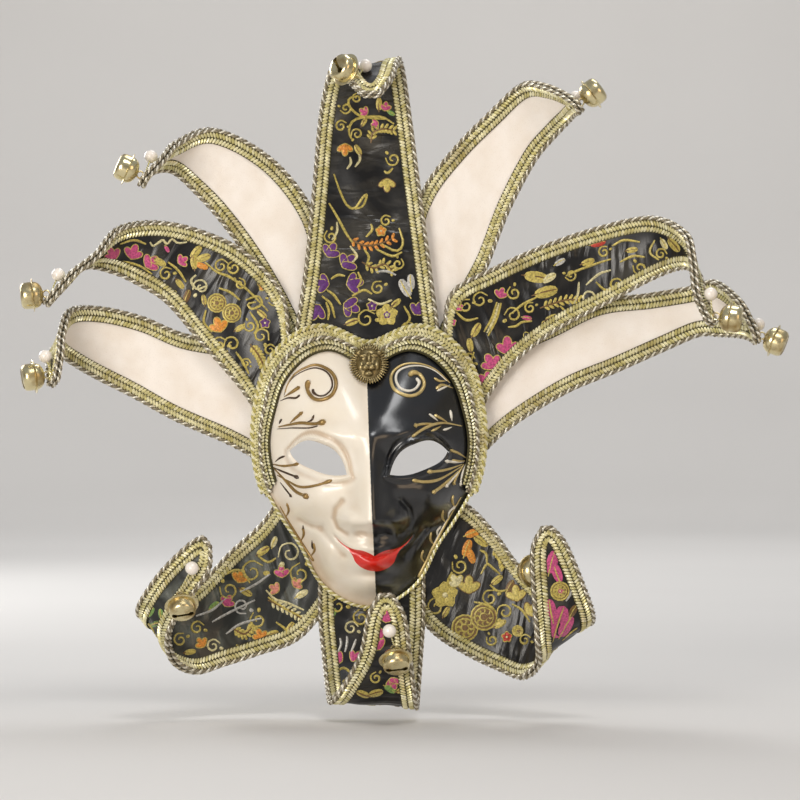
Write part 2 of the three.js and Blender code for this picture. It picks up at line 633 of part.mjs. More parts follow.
// Cloth, braid, bell and pearl of one point. A leaning bell is lifted until its loop just clears the braid.
function dress(point) {
  const strip = stripBetween(point.rows);
  addPiece(`${point.name}_point`, clothPanel(strip), point.cloth);
  addPiece(`${point.name}_braid`, edgeBraid(strip), 'braid');
  const trim = TRIM[point.name];
  const onCloth = CLOTH.thick / 2 + GAP;
  const onBraid = onCloth + BRAID.thick + GAP;
  const tied = strip.seat(...trim.bell, trim.face * onBraid);
  const axis = new THREE.Vector3(...trim.axis).normalize();
  const lean = BELL.loop * (1 - axis.dot(tied.facing)) * BELL.leanLift;
  const bell = addPiece(`${point.name}_bell`, jingleBell(), 'brass');
  bell.position.copy(tied.place).addScaledVector(tied.facing, lean);
  bell.position.addScaledVector(axis, BELL.radius + BELL.loopStand + BELL.loop);
  bell.quaternion.setFromUnitVectors(new THREE.Vector3(0, -1, 0), axis);
  const sewn = strip.seat(...trim.pearl, trim.face * (trim.on === 'cloth' ? onCloth : onBraid));
  const pearl = addPiece(`${point.name}_pearl`, new THREE.IcosahedronGeometry(PEARL.radius, 1), 'pearl');
  pearl.position.copy(sewn.place).addScaledVector(sewn.facing, PEARL.radius);
}

POINTS.forEach(dress);

export default mask;
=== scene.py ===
# %% [markdown]
# # A jester mask for carnival
# The mask is a papier-mache face, half ivory and half black, with ten cloth points round it. The packed
# part gives every piece its place and size, and this file gives each one its real surface: paint, braid,
# brocade, brass and bead. Sizes are in millimetres here and are turned into metres when a mesh is made.

# %% Load the part
import json
import math

import bpy
import numpy as np
from mathutils import Matrix, Vector
from mathutils.bvhtree import BVHTree

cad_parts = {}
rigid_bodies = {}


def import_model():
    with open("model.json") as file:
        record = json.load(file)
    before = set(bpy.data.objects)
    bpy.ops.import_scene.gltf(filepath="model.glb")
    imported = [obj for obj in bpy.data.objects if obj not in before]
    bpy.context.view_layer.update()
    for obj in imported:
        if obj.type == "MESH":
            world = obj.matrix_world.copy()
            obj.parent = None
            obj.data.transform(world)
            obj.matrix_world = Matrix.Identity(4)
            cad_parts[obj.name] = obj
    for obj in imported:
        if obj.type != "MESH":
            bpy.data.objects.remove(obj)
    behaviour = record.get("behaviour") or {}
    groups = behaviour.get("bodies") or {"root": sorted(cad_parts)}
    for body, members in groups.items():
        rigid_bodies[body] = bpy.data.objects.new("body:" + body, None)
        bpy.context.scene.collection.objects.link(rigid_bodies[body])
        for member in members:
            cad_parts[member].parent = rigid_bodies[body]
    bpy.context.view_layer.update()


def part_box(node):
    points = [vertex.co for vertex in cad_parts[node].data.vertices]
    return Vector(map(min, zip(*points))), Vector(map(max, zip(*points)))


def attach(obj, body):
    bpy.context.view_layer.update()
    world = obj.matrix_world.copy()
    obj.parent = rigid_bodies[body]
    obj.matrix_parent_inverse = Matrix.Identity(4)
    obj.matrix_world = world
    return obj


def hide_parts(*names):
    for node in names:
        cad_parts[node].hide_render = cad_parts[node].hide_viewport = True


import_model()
MM = 0.001
rng = np.random.default_rng(7)

# %% [markdown]
# ## Small helpers
# Most pieces here are made in great numbers or follow a bent surface, so their corner points are worked
# out with numpy and joined into one mesh. The helpers make a mesh from points, put a finish on it and
# let it ride with the mask. Others follow where they are first needed.

# %% Helpers for meshes
def unit(v):
    """The same vectors with length 1."""
    return v / np.maximum(np.linalg.norm(v, axis=-1, keepdims=True), 1e-12)


def select_only(piece):
    """Select one piece alone and make it the active one."""
    bpy.ops.object.select_all(action="DESELECT")
    piece.select_set(True)
    bpy.context.view_layer.objects.active = piece


def mesh_piece(name, corners, faces):
    """A new object from corners in millimetres, with its faces turned outwards."""
    mesh = bpy.data.meshes.new(name)
    mesh.from_pydata((np.asarray(corners) * MM).tolist(), [], faces)
    piece = bpy.data.objects.new(name, mesh)
    bpy.context.scene.collection.objects.link(piece)
    select_only(piece)
    bpy.ops.object.mode_set(mode="EDIT")
    bpy.ops.mesh.select_all(action="SELECT")
    bpy.ops.mesh.normals_make_consistent(inside=False)
    bpy.ops.object.mode_set(mode="OBJECT")
    return piece


def note(piece, name, values):
    """Store a number, a vector or a colour on every corner, for the material to read."""
    values = np.asarray(values, float)
    kind = {1: "FLOAT", 3: "FLOAT_VECTOR", 4: "FLOAT_COLOR"}[values.shape[1]]
    field = {1: "value", 3: "vector", 4: "color"}[values.shape[1]]
    layer = piece.data.attributes.new(name, kind, "POINT")
    layer.data.foreach_set(field, values.ravel().astype(np.float32))


def dress(piece, materials, nodes=(), smooth=50):
    """Put the materials on, shade it smooth up to an angle and hang it on the mask."""
    piece.data.materials.clear()
    for finish in materials:
        piece.data.materials.append(finish)
    select_only(piece)
    bpy.ops.object.shade_smooth_by_angle(angle=math.radians(smooth))
    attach(piece, "root")
    if nodes:
        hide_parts(*nodes)
    return piece


def apply(piece, kind, **settings):
    """Add one modifier and apply it."""
    select_only(piece)
    modifier = piece.modifiers.new(kind.lower(), kind)
    for name, value in settings.items():
        setattr(modifier, name, value)
    bpy.ops.object.modifier_apply(modifier=modifier.name)


print("helpers ready")

# %% [markdown]
# ## Helpers for finishes
# Colours are chosen as screen colours and turned into linear light by one function. Another small one
# adds any node: a value that is an output is linked, any other is set on the socket.

# %% Helpers for materials
def colour(text):
    """A screen colour such as e8dcc0 as linear light."""
    parts = [int(text[i:i + 2], 16) / 255 for i in (0, 2, 4)]
    return [c / 12.92 if c <= 0.04045 else ((c + 0.055) / 1.055) ** 2.4 for c in parts] + [1.0]


def material(name, **values):
    """A new material with its main shader's sockets set."""
    made = bpy.data.materials.new(name)
    made.use_nodes = True
    shader = made.node_tree.nodes["Principled BSDF"]
    for socket, value in values.items():
        shader.inputs[socket.replace("_", " ")].default_value = value
    return made, made.node_tree, shader


def add(tree, kind, inputs, **settings):
    """Add a node; inputs are outputs to link, screen colours or other values to set."""
    node = tree.nodes.new(kind)
    for name, value in settings.items():
        setattr(node, name, value)
    for socket, value in inputs.items():
        if isinstance(value, bpy.types.NodeSocket):
            tree.links.new(value, node.inputs[socket])
        else:
            node.inputs[socket].default_value = colour(value) if isinstance(value, str) else value
    return node


def per(size):
    """The scale of a pattern with a mark every so many millimetres, on coordinates in metres."""
    return 1 / (size * MM)


A, B, MIXED = 6, 7, 2  # the colour sockets of a mix node
RGBA = {"data_type": "RGBA"}  # the setting that makes a mix node mix colours
print("a pattern of 2 mm has the scale", per(2))

# %% [markdown]
# ## The face's shape
# A papier-mache face is pressed into a mould, so its front is one smooth height map: a dome inside a
# lobed rim, then brow, sockets, nose, cheeks, lips and chin as soft mounds. The coarse part has the same
# mounds; here the fine ones join them: lid rims, smile folds, nostrils and the line between the lips.
# The features lean a little, because the mask hangs with its chin to one side.

# %% Smooth curves
def smooth_line(points, place, ends="straight"):
    """A smooth curve through points; place runs from 0 at the first to 1 at the last."""
    points = np.asarray(points, float)
    last = len(points) - 1
    before, after = 2 * points[0] - points[1], 2 * points[-1] - points[-2]
    if ends == "mirrored":
        before, after = points[1], points[-2]
    padded = np.concatenate([[before], points, [after]])
    where = np.clip(place, 0, 1) * last
    low = np.minimum(where.astype(int), last - 1)
    u = where - low
    u = u.reshape(u.shape + (1,) * (points.ndim - 1))
    p0, p1, p2, p3 = (padded[low + k] for k in range(4))
    start, end = (p2 - p0) / 2, (p3 - p1) / 2
    return ((2 * (p1 - p2) + start + end) * u + 3 * (p2 - p1) - 2 * start - end) * u * u + start * u + p1


def ease(v, low, high):
    """A smooth step from 0 at low to 1 at high."""
    v = np.clip((v - low) / (high - low), 0, 1)
    return v * v * (3 - 2 * v)


print("halfway up a smooth step:", ease(0.5, 0, 1))

# %% Sizes of the face
FACE_Z, FACE_DEPTH, DOME, EDGE, WALL = -8, 50, 2.2, 1.25, 2.5
RIM = [90, 109, 107, 94, 85, 79, 75, 78, 95, 104]  # every 20 degrees, from the top down to the chin
PAIRS = [  # x, z, height, spread in x, spread in z; one on each side
    (31, 17, 4.5, 24, 8), (34, 1, -7, 20, 11), (44, -31, 9, 19, 16), (17, -45, 9.5, 8, 8),
    (35, -74, 4.5, 9, 19), (9, -55, -3.4, 4.5, 2.4),
]
MIDDLE = [
    (0, 19, 3, 12, 14), (0, -71, 7, 27, 17), (0, -66.5, 3.5, 17, 4), (0, -78, 4.5, 13, 4.5),
    (0, -96, 9, 20, 11), (0, -61, -1.2, 3, 5), (0, -86, -2, 13, 3),
]
FOLDS = [  # lines in the surface: points, height, spread
    ([(22, -31), (27, -37), (28.5, -44), (26, -51), (20, -55)], -2.6, 2.2),
    ([(39, -52), (32, -61), (23, -71)], -2.2, 3.0),
    ([(55, -46), (46, -50.5), (39, -52)], -2.4, 2.6),
    ([(0, -74.5), (6, -72.5), (16, -68.5), (23, -63.5), (29, -57.5)], -2.0, 1.2),
]
EYE_X, EYE_Z, EYE_HALF, EYE_UP, EYE_DOWN, EYE_SLANT = 37.3, -3, 23.1, 14.2, 6.2, math.radians(21.5)
LEAN_START, LEAN = 1.2, -0.041  # the middle line at height 0, and its drift for each millimetre up
NOSE_TOP, NOSE_LONG, NOSE_END, NOSE_FADE, NOSE_UNDER = 14, 61, -44, 12, 14
BRIDGE_RISE, TIP_RISE, RISE_POWER, BRIDGE_WIDE, TIP_WIDER = 4, 21, 1.3, 8, 6
RELIEF_END = 0.8  # share of the way to the rim from which the relief fades
LID_RIM = (1.6, 0.6, 2.4, 1.9)  # height, more of it on the upper lid, distance from the hole, spread
LID_CREASE = (-0.6, -1.2, 7, 2.3)
print("mounds", 2 * len(PAIRS) + len(MIDDLE), "and folds", 2 * len(FOLDS))

# %% Parts of the face's relief
def lean(z):
    """The face's middle line, which drifts to one side from the chin up."""
    return LEAN_START + LEAN * z


def rim_radius(bearing):
    """How far the rim is from the face's middle, by the bearing from the top."""
    return smooth_line(RIM, np.abs(bearing) / math.pi, "mirrored")


def lid_curve(u):
    """Height of a lid along the eye: pointed towards the nose at -1, round at the outer end at 1."""
    return 1 - np.where(u > 0, u ** 4, np.abs(u) ** 2.4)


def eye_gap(x, z):
    """Millimetres outside the nearer eye hole, about, and how far it is the upper lid, from 0 to 1."""
    x, z = np.abs(x) - EYE_X, z - EYE_Z
    u = x * math.cos(EYE_SLANT) + z * math.sin(EYE_SLANT)
    v = z * math.cos(EYE_SLANT) - x * math.sin(EYE_SLANT)
    upper = 0.5 + 0.5 * np.tanh(v / 3)
    return np.abs(v) - (EYE_DOWN + (EYE_UP - EYE_DOWN) * upper) * lid_curve(u / EYE_HALF), upper


def round_eye(gap, upper, row):
    """A soft ring round the eye hole."""
    height, more, out, wide = row
    return (height + more * upper) * np.exp(-((gap - out) / wide) ** 2)


def bump(x, z, row):
    """A soft mound or hollow."""
    x0, z0, height, wide, tall = row
    return height * np.exp(-((x - x0) / wide) ** 2 - ((z - z0) / tall) ** 2)


def fold(x, z, points, height, wide):
    """A soft ridge or groove along a line of points."""
    nearest = np.full(np.shape(x), 1e9)
    for (ax, az), (bx, bz) in zip(points, points[1:]):
        t = np.clip(((x - ax) * (bx - ax) + (z - az) * (bz - az)) / ((bx - ax) ** 2 + (bz - az) ** 2), 0, 1)
        nearest = np.minimum(nearest, np.hypot(x - ax - t * (bx - ax), z - az - t * (bz - az)))
    return height * np.exp(-(nearest / wide) ** 2)


print("the rim is", round(float(rim_radius(np.zeros(1))[0])), "mm from the middle at the top")

# %% Face height
def face_height(x, z):
    """How far the face stands forward of the rim at x, z."""
    share = np.hypot(x, z - FACE_Z) / rim_radius(np.arctan2(x, z - FACE_Z))
    dome = FACE_DEPTH * np.maximum(1 - share ** DOME, 0) ** EDGE
    mid = x - lean(z)
    side = np.abs(mid)
    along = np.clip((NOSE_TOP - z) / NOSE_LONG, 0, 1)
    ridge = BRIDGE_RISE + TIP_RISE * along ** RISE_POWER
    ridge = ridge * np.exp(-(np.maximum(z - NOSE_TOP, 0) / NOSE_FADE) ** 2)
    relief = ridge * (1 - ease(NOSE_END - z, 0, NOSE_UNDER))
    relief = relief * np.exp(-(mid / (BRIDGE_WIDE + TIP_WIDER * along)) ** 2)
    relief = relief + sum(bump(side, z, row) for row in PAIRS) + sum(bump(mid, z, row) for row in MIDDLE)
    relief = relief + sum(fold(side, z, *row) for row in FOLDS)
    gap, upper = eye_gap(x, z)
    lid, crease = round_eye(gap, upper, LID_RIM), round_eye(gap, upper, LID_CREASE)
    return dome + (relief + lid + crease) * (1 - ease(share, RELIEF_END, 1))


def face_spot(bearing, inset, lift):
    """Points inside the rim at a bearing from the top, lifted off the surface, and their normals."""
    def at(turn, into):
        radius = rim_radius(turn) - into
        x, z = radius * np.sin(turn), radius * np.cos(turn) + FACE_Z
        return np.stack([x, -face_height(x, z), z], -1)
    spots = at(bearing, inset)
    normal = unit(np.cross(at(bearing, inset + 0.5) - at(bearing, inset - 0.5),
                           at(bearing + 0.004, inset) - at(bearing - 0.004, inset)))
    normal = normal * -np.sign(normal[..., 1:2])
    return spots + normal * lift, normal


print("nose tip stands", round(float(face_height(np.array([3.2]), np.array([-47.0]))[0]), 1), "mm forward")

# %% [markdown]
# ## Painted papier-mache
# The left half is ivory, darkened with ochre and with painted shade in the hollows, round the eyes and
# near the rim, the right half is black lacquer, and the lips are glossy red. The split, the lips and the
# brush marks are worked out from the object's own coordinates, so they stay sharp however fine the mesh
# is. The inside is bare pulp.

# %% Paint for the face
LIP_TOP = [(0, 0.455), (0.25, 0.555), (0.47, 0.585), (0.67, 0.65), (0.91, 0.83)]
LIP_END = [(0, 0.155), (0.25, 0.2), (0.43, 0.31), (0.53, 0.48), (0.6, 0.56), (0.75, 0.665), (0.91, 0.822)]
LIP_SPAN, LIP_LOW, LIP_TALL = 0.032, -0.090, 0.040  # metres
BRUSH_MARK, OCHRE_CLOUD, PULP_WAVE = 2.381, 22.22, 9.09  # millimetres from one to the next

# ivory and black lacquer with red lips: a warm satin half, a glossy black half, sharp painted edges
paint, tree, shader = material("painted papier-mache", Coat_Weight=0.8, Coat_Roughness=0.18)
spot = add(tree, "ShaderNodeTexCoord", {}).outputs["Object"]
place = add(tree, "ShaderNodeSeparateXYZ", {0: spot})
line = add(tree, "ShaderNodeMath", {0: place.outputs["Z"], 1: LEAN, 2: LEAN_START * MM},
           operation="MULTIPLY_ADD")
brush = add(tree, "ShaderNodeTexNoise", {"Vector": spot, "Scale": per(BRUSH_MARK), "Detail": 4.0})
waver = add(tree, "ShaderNodeMath", {0: brush.outputs["Fac"], 1: 0.0006, 2: line.outputs[0]},
            operation="MULTIPLY_ADD")
off = add(tree, "ShaderNodeMath", {0: place.outputs["X"], 1: waver.outputs[0]}, operation="SUBTRACT")
black_half = add(tree, "ShaderNodeMapRange", {"Value": off.outputs[0], "From Min": -0.0006,
                                             "From Max": -0.0002})
beside = add(tree, "ShaderNodeMath", {0: off.outputs[0]}, operation="ABSOLUTE")
across = add(tree, "ShaderNodeMath", {0: beside.outputs[0], 1: 1 / LIP_SPAN}, operation="MULTIPLY")
height = add(tree, "ShaderNodeMapRange", {"Value": place.outputs["Z"], "From Min": LIP_LOW,
                                         "From Max": LIP_LOW + LIP_TALL})
lip_edges = []
for table in (LIP_TOP, LIP_END):
    edge = add(tree, "ShaderNodeFloatCurve", {"Value": across.outputs[0]})
    points = edge.mapping.curves[0].points
    for (x, y), have in zip(table, [0, 1]):
        points[have].location = (x, y)
    for x, y in table[2:]:
        points.new(x, y)
    edge.mapping.update()
    lip_edges.append(edge.outputs[0])
under = add(tree, "ShaderNodeMath", {0: lip_edges[0], 1: height.outputs[0]}, operation="SUBTRACT")
over = add(tree, "ShaderNodeMath", {0: height.outputs[0], 1: lip_edges[1]}, operation="SUBTRACT")
inside = add(tree, "ShaderNodeMath", {0: under.outputs[0], 1: over.outputs[0]}, operation="MINIMUM")
near = add(tree, "ShaderNodeMath", {0: across.outputs[0], 1: LIP_TOP[-1][0]}, operation="LESS_THAN")
lips = add(tree, "ShaderNodeMapRange", {"Value": inside.outputs[0], "From Min": 0.0, "From Max": 0.008})
lips = add(tree, "ShaderNodeMath", {0: lips.outputs[0], 1: near.outputs[0]}, operation="MULTIPLY")
print("lip edges", len(lip_edges))

# %% Colours of the face
# the ivory darkens towards a97f4a with the hollow attribute: partly ochre, partly painted shade in hollows,
# round the eyes and near the rim
hollow = add(tree, "ShaderNodeAttribute", {}, attribute_name="hollow")
clouds = add(tree, "ShaderNodeTexNoise", {"Vector": spot, "Scale": per(OCHRE_CLOUD), "Detail": 6.0})
ivory = add(tree, "ShaderNodeMix", {0: clouds.outputs["Fac"], A: "f6efe4", B: "e9dcc4"}, **RGBA)
ochre_shade = add(tree, "ShaderNodeMath", {0: hollow.outputs["Fac"], 1: clouds.outputs["Fac"]},
            operation="MULTIPLY")
ochre_shade = add(tree, "ShaderNodeMapRange", {"Value": ochre_shade.outputs[0], "From Max": 0.5, "To Max": 0.52})
ivory = add(tree, "ShaderNodeMix", {0: ochre_shade.outputs[0], A: ivory.outputs[MIXED], B: "a97f4a"}, **RGBA)
black = add(tree, "ShaderNodeMix", {0: clouds.outputs["Fac"], A: "050506", B: "131418"}, **RGBA)
halves = add(tree, "ShaderNodeMix", {0: black_half.outputs[0], A: ivory.outputs[MIXED],
                                     B: black.outputs[MIXED]}, **RGBA)
red = add(tree, "ShaderNodeMix", {0: brush.outputs["Fac"], A: "cc0e04", B: "ea2a12"}, **RGBA)
skin = add(tree, "ShaderNodeMix", {0: lips.outputs[0], A: halves.outputs[MIXED], B: red.outputs[MIXED]},
           **RGBA)
matt = add(tree, "ShaderNodeMapRange", {"Value": black_half.outputs[0], "To Min": 0.42, "To Max": 0.28})
pulp_waves = add(tree, "ShaderNodeTexNoise", {"Vector": spot, "Scale": per(PULP_WAVE), "Detail": 3.0})
rough = add(tree, "ShaderNodeBump",
            {"Height": pulp_waves.outputs["Fac"], "Strength": 0.25, "Distance": 0.0009})
tree.links.new(skin.outputs[MIXED], shader.inputs["Base Color"])
tree.links.new(matt.outputs[0], shader.inputs["Roughness"])
tree.links.new(rough.outputs[0], shader.inputs["Normal"])
print("face paint made")

# %% Bare inside
# bare pulp inside: dull off-white with torn-paper blotches
SCRAP = 18.18  # millimetres from one torn scrap to the next
pulp, tree, shader = material("bare papier-mache", Roughness=0.9)
spot = add(tree, "ShaderNodeTexCoord", {}).outputs["Object"]
scraps = add(tree, "ShaderNodeTexVoronoi", {"Vector": spot, "Scale": per(SCRAP)})
tone = add(tree, "ShaderNodeMix", {0: scraps.outputs["Distance"], A: "d8cfc0", B: "b9ad99"}, **RGBA)
torn = add(tree, "ShaderNodeBump",
           {"Height": scraps.outputs["Distance"], "Strength": 0.4, "Distance": 0.001})
tree.links.new(tone.outputs[MIXED], shader.inputs["Base Color"])
tree.links.new(torn.outputs[0], shader.inputs["Normal"])
print("bare pulp made")

# %% [markdown]
# ## The face
# The front skin is a round grid that follows the height map, and the inner skin lies a wall's thickness
# behind it. The eye holes are cut through both with an almond-shaped cutter, as a knife does in the
# dried shell. Then every corner gets a number for how much ochre and painted shade it takes: more in
# hollows, round the eyes and near the rim.

# %% Build the face
ROUND, RINGS = 280, 108  # spokes and rings of the grid
NUDGE, THICKEST = 0.4, 1.7  # a step for measuring slopes, and the most that a slope thickens the wall
bearing, share = np.meshgrid(np.linspace(0, 2 * math.pi, ROUND, endpoint=False),
                             np.linspace(0, 1, RINGS + 1)[1:])
wrapped = (bearing + math.pi) % (2 * math.pi) - math.pi
radius = rim_radius(wrapped) * share
gx, gz = radius * np.sin(wrapped), radius * np.cos(wrapped) + FACE_Z
front = np.stack([gx, -face_height(gx, gz), gz], -1)
slope = np.hypot(face_height(gx + NUDGE, gz) - face_height(gx - NUDGE, gz),
                 face_height(gx, gz + NUDGE) - face_height(gx, gz - NUDGE)) / (2 * NUDGE)
behind = front + np.stack([gx * 0, WALL * np.minimum(np.hypot(1, slope), THICKEST), gz * 0], -1)
behind[-1, :, 1] = np.maximum(behind[-1, :, 1], front[-1, :, 1] + WALL)
centre = np.array([[0, -face_height(np.zeros(1), np.array([float(FACE_Z)]))[0], FACE_Z]])
count = RINGS * ROUND
k, q = np.meshgrid(np.arange(RINGS - 1) * ROUND, np.arange(ROUND), indexing="ij")
q2 = (q + 1) % ROUND
quads = np.stack([k + q, k + q2, k + ROUND + q2, k + ROUND + q], -1).reshape(-1, 4)
fan = [[2 * count, (i + 1) % ROUND, i] for i in range(ROUND)]
rim = [[count - ROUND + i, count - ROUND + (i + 1) % ROUND, 2 * count - ROUND + (i + 1) % ROUND,
        2 * count - ROUND + i] for i in range(ROUND)]
back_fan = [[2 * count + 1, count + i, count + (i + 1) % ROUND] for i in range(ROUND)]
faces = quads.tolist() + fan + rim + (quads[:, ::-1] + count).tolist() + back_fan
face = mesh_piece("face", np.concatenate([front.reshape(-1, 3), behind.reshape(-1, 3), centre,
                                          centre + [[0, WALL, 0]]]), faces)
print("face skins", len(face.data.polygons), "faces")

# %% Cut the eye holes
CUT_FROM, CUT_TO = -90, 30
u = np.sin(np.linspace(-math.pi / 2, math.pi / 2, 41))
upper = np.stack([u * EYE_HALF, EYE_UP * lid_curve(u)], 1)
lower = np.stack([u * EYE_HALF, -EYE_DOWN * lid_curve(u)], 1)[-2:0:-1]
cosine, sine = math.cos(EYE_SLANT), math.sin(EYE_SLANT)
almond = np.concatenate([upper, lower]) @ np.array([[cosine, sine], [-sine, cosine]]) + [EYE_X, EYE_Z]
n = len(almond)
walls = [[i, (i + 1) % n, n + (i + 1) % n, n + i] for i in range(n)]
ends = [list(range(n))[::-1], list(range(n, 2 * n))]
for side in (-1, 1):
    ring = [np.stack([side * almond[:, 0], np.full(n, y), almond[:, 1]], 1) for y in (CUT_FROM, CUT_TO)]
    cutter = mesh_piece("cutter", np.concatenate(ring), walls + ends)
    apply(face, "BOOLEAN", operation="DIFFERENCE", solver="MANIFOLD", object=cutter)
    bpy.data.objects.remove(cutter)
print("eye holes", 2 * EYE_HALF, "mm long")

# %% Ochre and painted shade in the hollows
NEARBY = 4  # a spot is hollow when it lies below the skin this far round it
SOCKET_OCHRE_SHADE, HOLE_OCHRE_SHADE = (0.225, 0.525, 6, 2.4), (0.3, 0, 0.5, 1.2)  # rings round the eye, as for the lids
RIM_OCHRE_SHADE, SUNK_FULL, EVERYWHERE = 0.55, 2.2, 0.05
spots = np.empty(len(face.data.vertices) * 3, np.float32)
face.data.vertices.foreach_get("co", spots)
spots = spots.reshape(-1, 3) / MM
ring = [face_height(spots[:, 0] + NEARBY * math.cos(a), spots[:, 2] + NEARBY * math.sin(a))
        for a in np.linspace(0, 2 * math.pi, 10)[:-1]]
sunk = np.mean(ring, 0) - face_height(spots[:, 0], spots[:, 2])
gap, lid = eye_gap(spots[:, 0], spots[:, 2])
# the rings round the eyes and the darkening near the rim are partly ochre, partly painted shade
eye_ochre_shade = round_eye(gap, lid, SOCKET_OCHRE_SHADE) + round_eye(gap, lid, HOLE_OCHRE_SHADE)
aside, above = spots[:, 0], spots[:, 2] - FACE_Z
edge = ease(np.hypot(aside, above) / rim_radius(np.arctan2(aside, above)), RELIEF_END, 1.0)
note(face, "hollow", np.clip(sunk / SUNK_FULL + eye_ochre_shade + RIM_OCHRE_SHADE * edge + EVERYWHERE, 0, 1)[:, None])
dress(face, [paint, pulp], ["face_shell"], 38)
inner = np.empty(len(face.data.polygons) * 3, np.float32)
face.data.polygons.foreach_get("normal", inner)
inner = inner.reshape(-1, 3)[:, 1] > 0.05
face.data.polygons.foreach_set("material_index", inner.astype(np.int32))
print("face", len(face.data.polygons), "faces")

# %% [markdown]
# ## Raised paint lines
# Scrolls, twigs and drops are squeezed on the face from a nozzle, so each is a round bead that swells at
# its end. They are drawn as seen from the front, in steps of 0.75 mm to the right and down, and dropped
# along the lines of sight onto the surface under them.

# %% Drawing onto a surface
STEP, ACROSS, DOWN = 0.75, 369, 458
EYE_POINT = np.array([23.25, -2600.0, 43.5])


def from_eye(points, behind):
    """Rays through drawn points from the camera's place, or from its mirror place behind."""
    source = EYE_POINT * ([1, -1, 1] if behind else [1, 1, 1])
    return [(source, np.array([(px - ACROSS) * STEP, 0, (DOWN - py) * STEP]) - source) for px, py in points]


def surface_of(piece, rays=from_eye):
    """A quick search tree of a piece's faces, and the rays that draw on it."""
    return BVHTree.FromPolygons([v.co for v in piece.data.vertices],
                                [p.vertices for p in piece.data.polygons]), rays


def dropped(ground, points, behind=False):
    """Where drawn points land on a surface; misses are left out."""
    tree, rays = ground
    spots, normals = [], []
    for source, aim in rays(points, behind):
        hit, normal, _, _ = tree.ray_cast(Vector(source * MM), Vector(aim).normalized())
        if hit is not None:
            facing = -1 if normal.dot(Vector(aim)) > 0 else 1
            spots.append(np.array(hit) / MM)
            normals.append(np.array(normal) * facing)
    return np.array(spots), np.array(normals)


def drawn(points, steps=None):
    """A smooth line through a few drawn points."""
    points = np.asarray(points, float)
    length = np.linalg.norm(np.diff(points, axis=0), axis=1).sum()
    return smooth_line(points, np.linspace(0, 1, steps or max(int(length / 1.6), 6)))


print("drawn with a step of", STEP, "mm")

# %% Beads of paint
FULLER = 1.15  # the drops spread a little after they leave the nozzle
FULL_FROM, DROP_AT, DROP_HALF = 0.55, 0.93, 0.09  # shares of a line: its full body and its end drop


def tube(path, radii, up, sides=6, flat=1.0):
    """A closed round thread along a path, pressed flat by a share."""
    path = np.asarray(path, float)
    along = unit(np.gradient(path, axis=0))
    across = unit(np.cross(along, up))
    rise = np.cross(across, along) * flat
    angle = np.arange(sides) * 2 * math.pi / sides
    ring = across[:, None] * np.cos(angle)[None, :, None] + rise[:, None] * np.sin(angle)[None, :, None]
    corners = path[:, None] + ring * np.broadcast_to(radii, len(path))[:, None, None]
    k, q = np.meshgrid(np.arange(len(path) - 1), np.arange(sides), indexing="ij")
    k, q, r = k.ravel() * sides, q.ravel(), (q.ravel() + 1) % sides
    faces = np.stack([k + q, k + r, k + sides + r, k + sides + q], 1).tolist()
    last = (len(path) - 1) * sides
    return corners.reshape(-1, 3), faces + [list(range(sides))[::-1], [last + i for i in range(sides)]]


def bead_line(ground, points, thin, thick, end):
    """A squeezed line from a thin start to a thick body, with a round drop of radius end at its end."""
    path, up = dropped(ground, drawn(points))
    if len(path) < 4:
        return None
    share = np.linspace(0, 1, len(path))
    thick, end = FULLER * thick, FULLER * end
    radii = thin + (thick - thin) * ease(share, 0, FULL_FROM)
    radii = np.maximum(radii, end * np.sqrt(np.clip(1 - ((share - DROP_AT) / DROP_HALF) ** 2, 0, 1)))
    radii[0], radii[-1] = thin * 0.5, max(radii[-1] * 0.4, 0.15)
    return tube(path + up * radii[:, None] * 0.25, radii, up, 8)


def joined(shapes):
    """Many (corners, faces, value) shapes as one list of corners, one of faces and a value per corner."""
    corners, faces, values, start = [], [], [], 0
    for points, sides, value in shapes:
        corners.append(np.asarray(points, float))
        faces.extend([[start + i for i in side] for side in sides])
        value = np.atleast_2d(np.asarray(value, float))
        values.append(np.broadcast_to(value, (len(points), value.shape[1])))
        start += len(points)
    return np.concatenate(corners), faces, np.concatenate(values)


print("beads of paint ready")

# %% Tables of the paint lines
IVORY_GOLD = [  # points, start radius, body radius, end radius
    ([(285, 393), (288, 384), (295, 374), (305, 368), (316, 365), (327, 369), (334, 376), (336, 386),
      (331, 396), (321, 400), (313, 398), (308, 391), (308, 384), (310, 382)], 0.5, 1.3, 1.9),
    ([(284, 397), (294, 391), (300, 387)], 0.4, 1.2, 1.5),
    ([(278, 427), (288, 425), (301, 423), (314, 424), (326, 422)], 0.5, 1.1, 2.1),
    ([(290, 423), (296, 418), (303, 412)], 0.4, 1.0, 1.5),
    ([(277, 475), (288, 481), (301, 487), (318, 485), (332, 480)], 0.4, 0.9, 1.3),
    ([(272, 466), (286, 481), (297, 492), (309, 497)], 0.5, 1.1, 2.0),
    ([(272, 464), (284, 466), (299, 464)], 0.4, 0.8, 1.3),
    ([(280, 506), (288, 520), (297, 535), (306, 549), (314, 561)], 0.5, 1.0, 1.0),
    ([(286, 517), (289, 510), (287, 503)], 0.4, 0.9, 1.3),
    ([(301, 541), (304, 534), (303, 527)], 0.4, 0.9, 1.3),
    ([(311, 556), (315, 550), (314, 543)], 0.4, 0.9, 1.3),
]
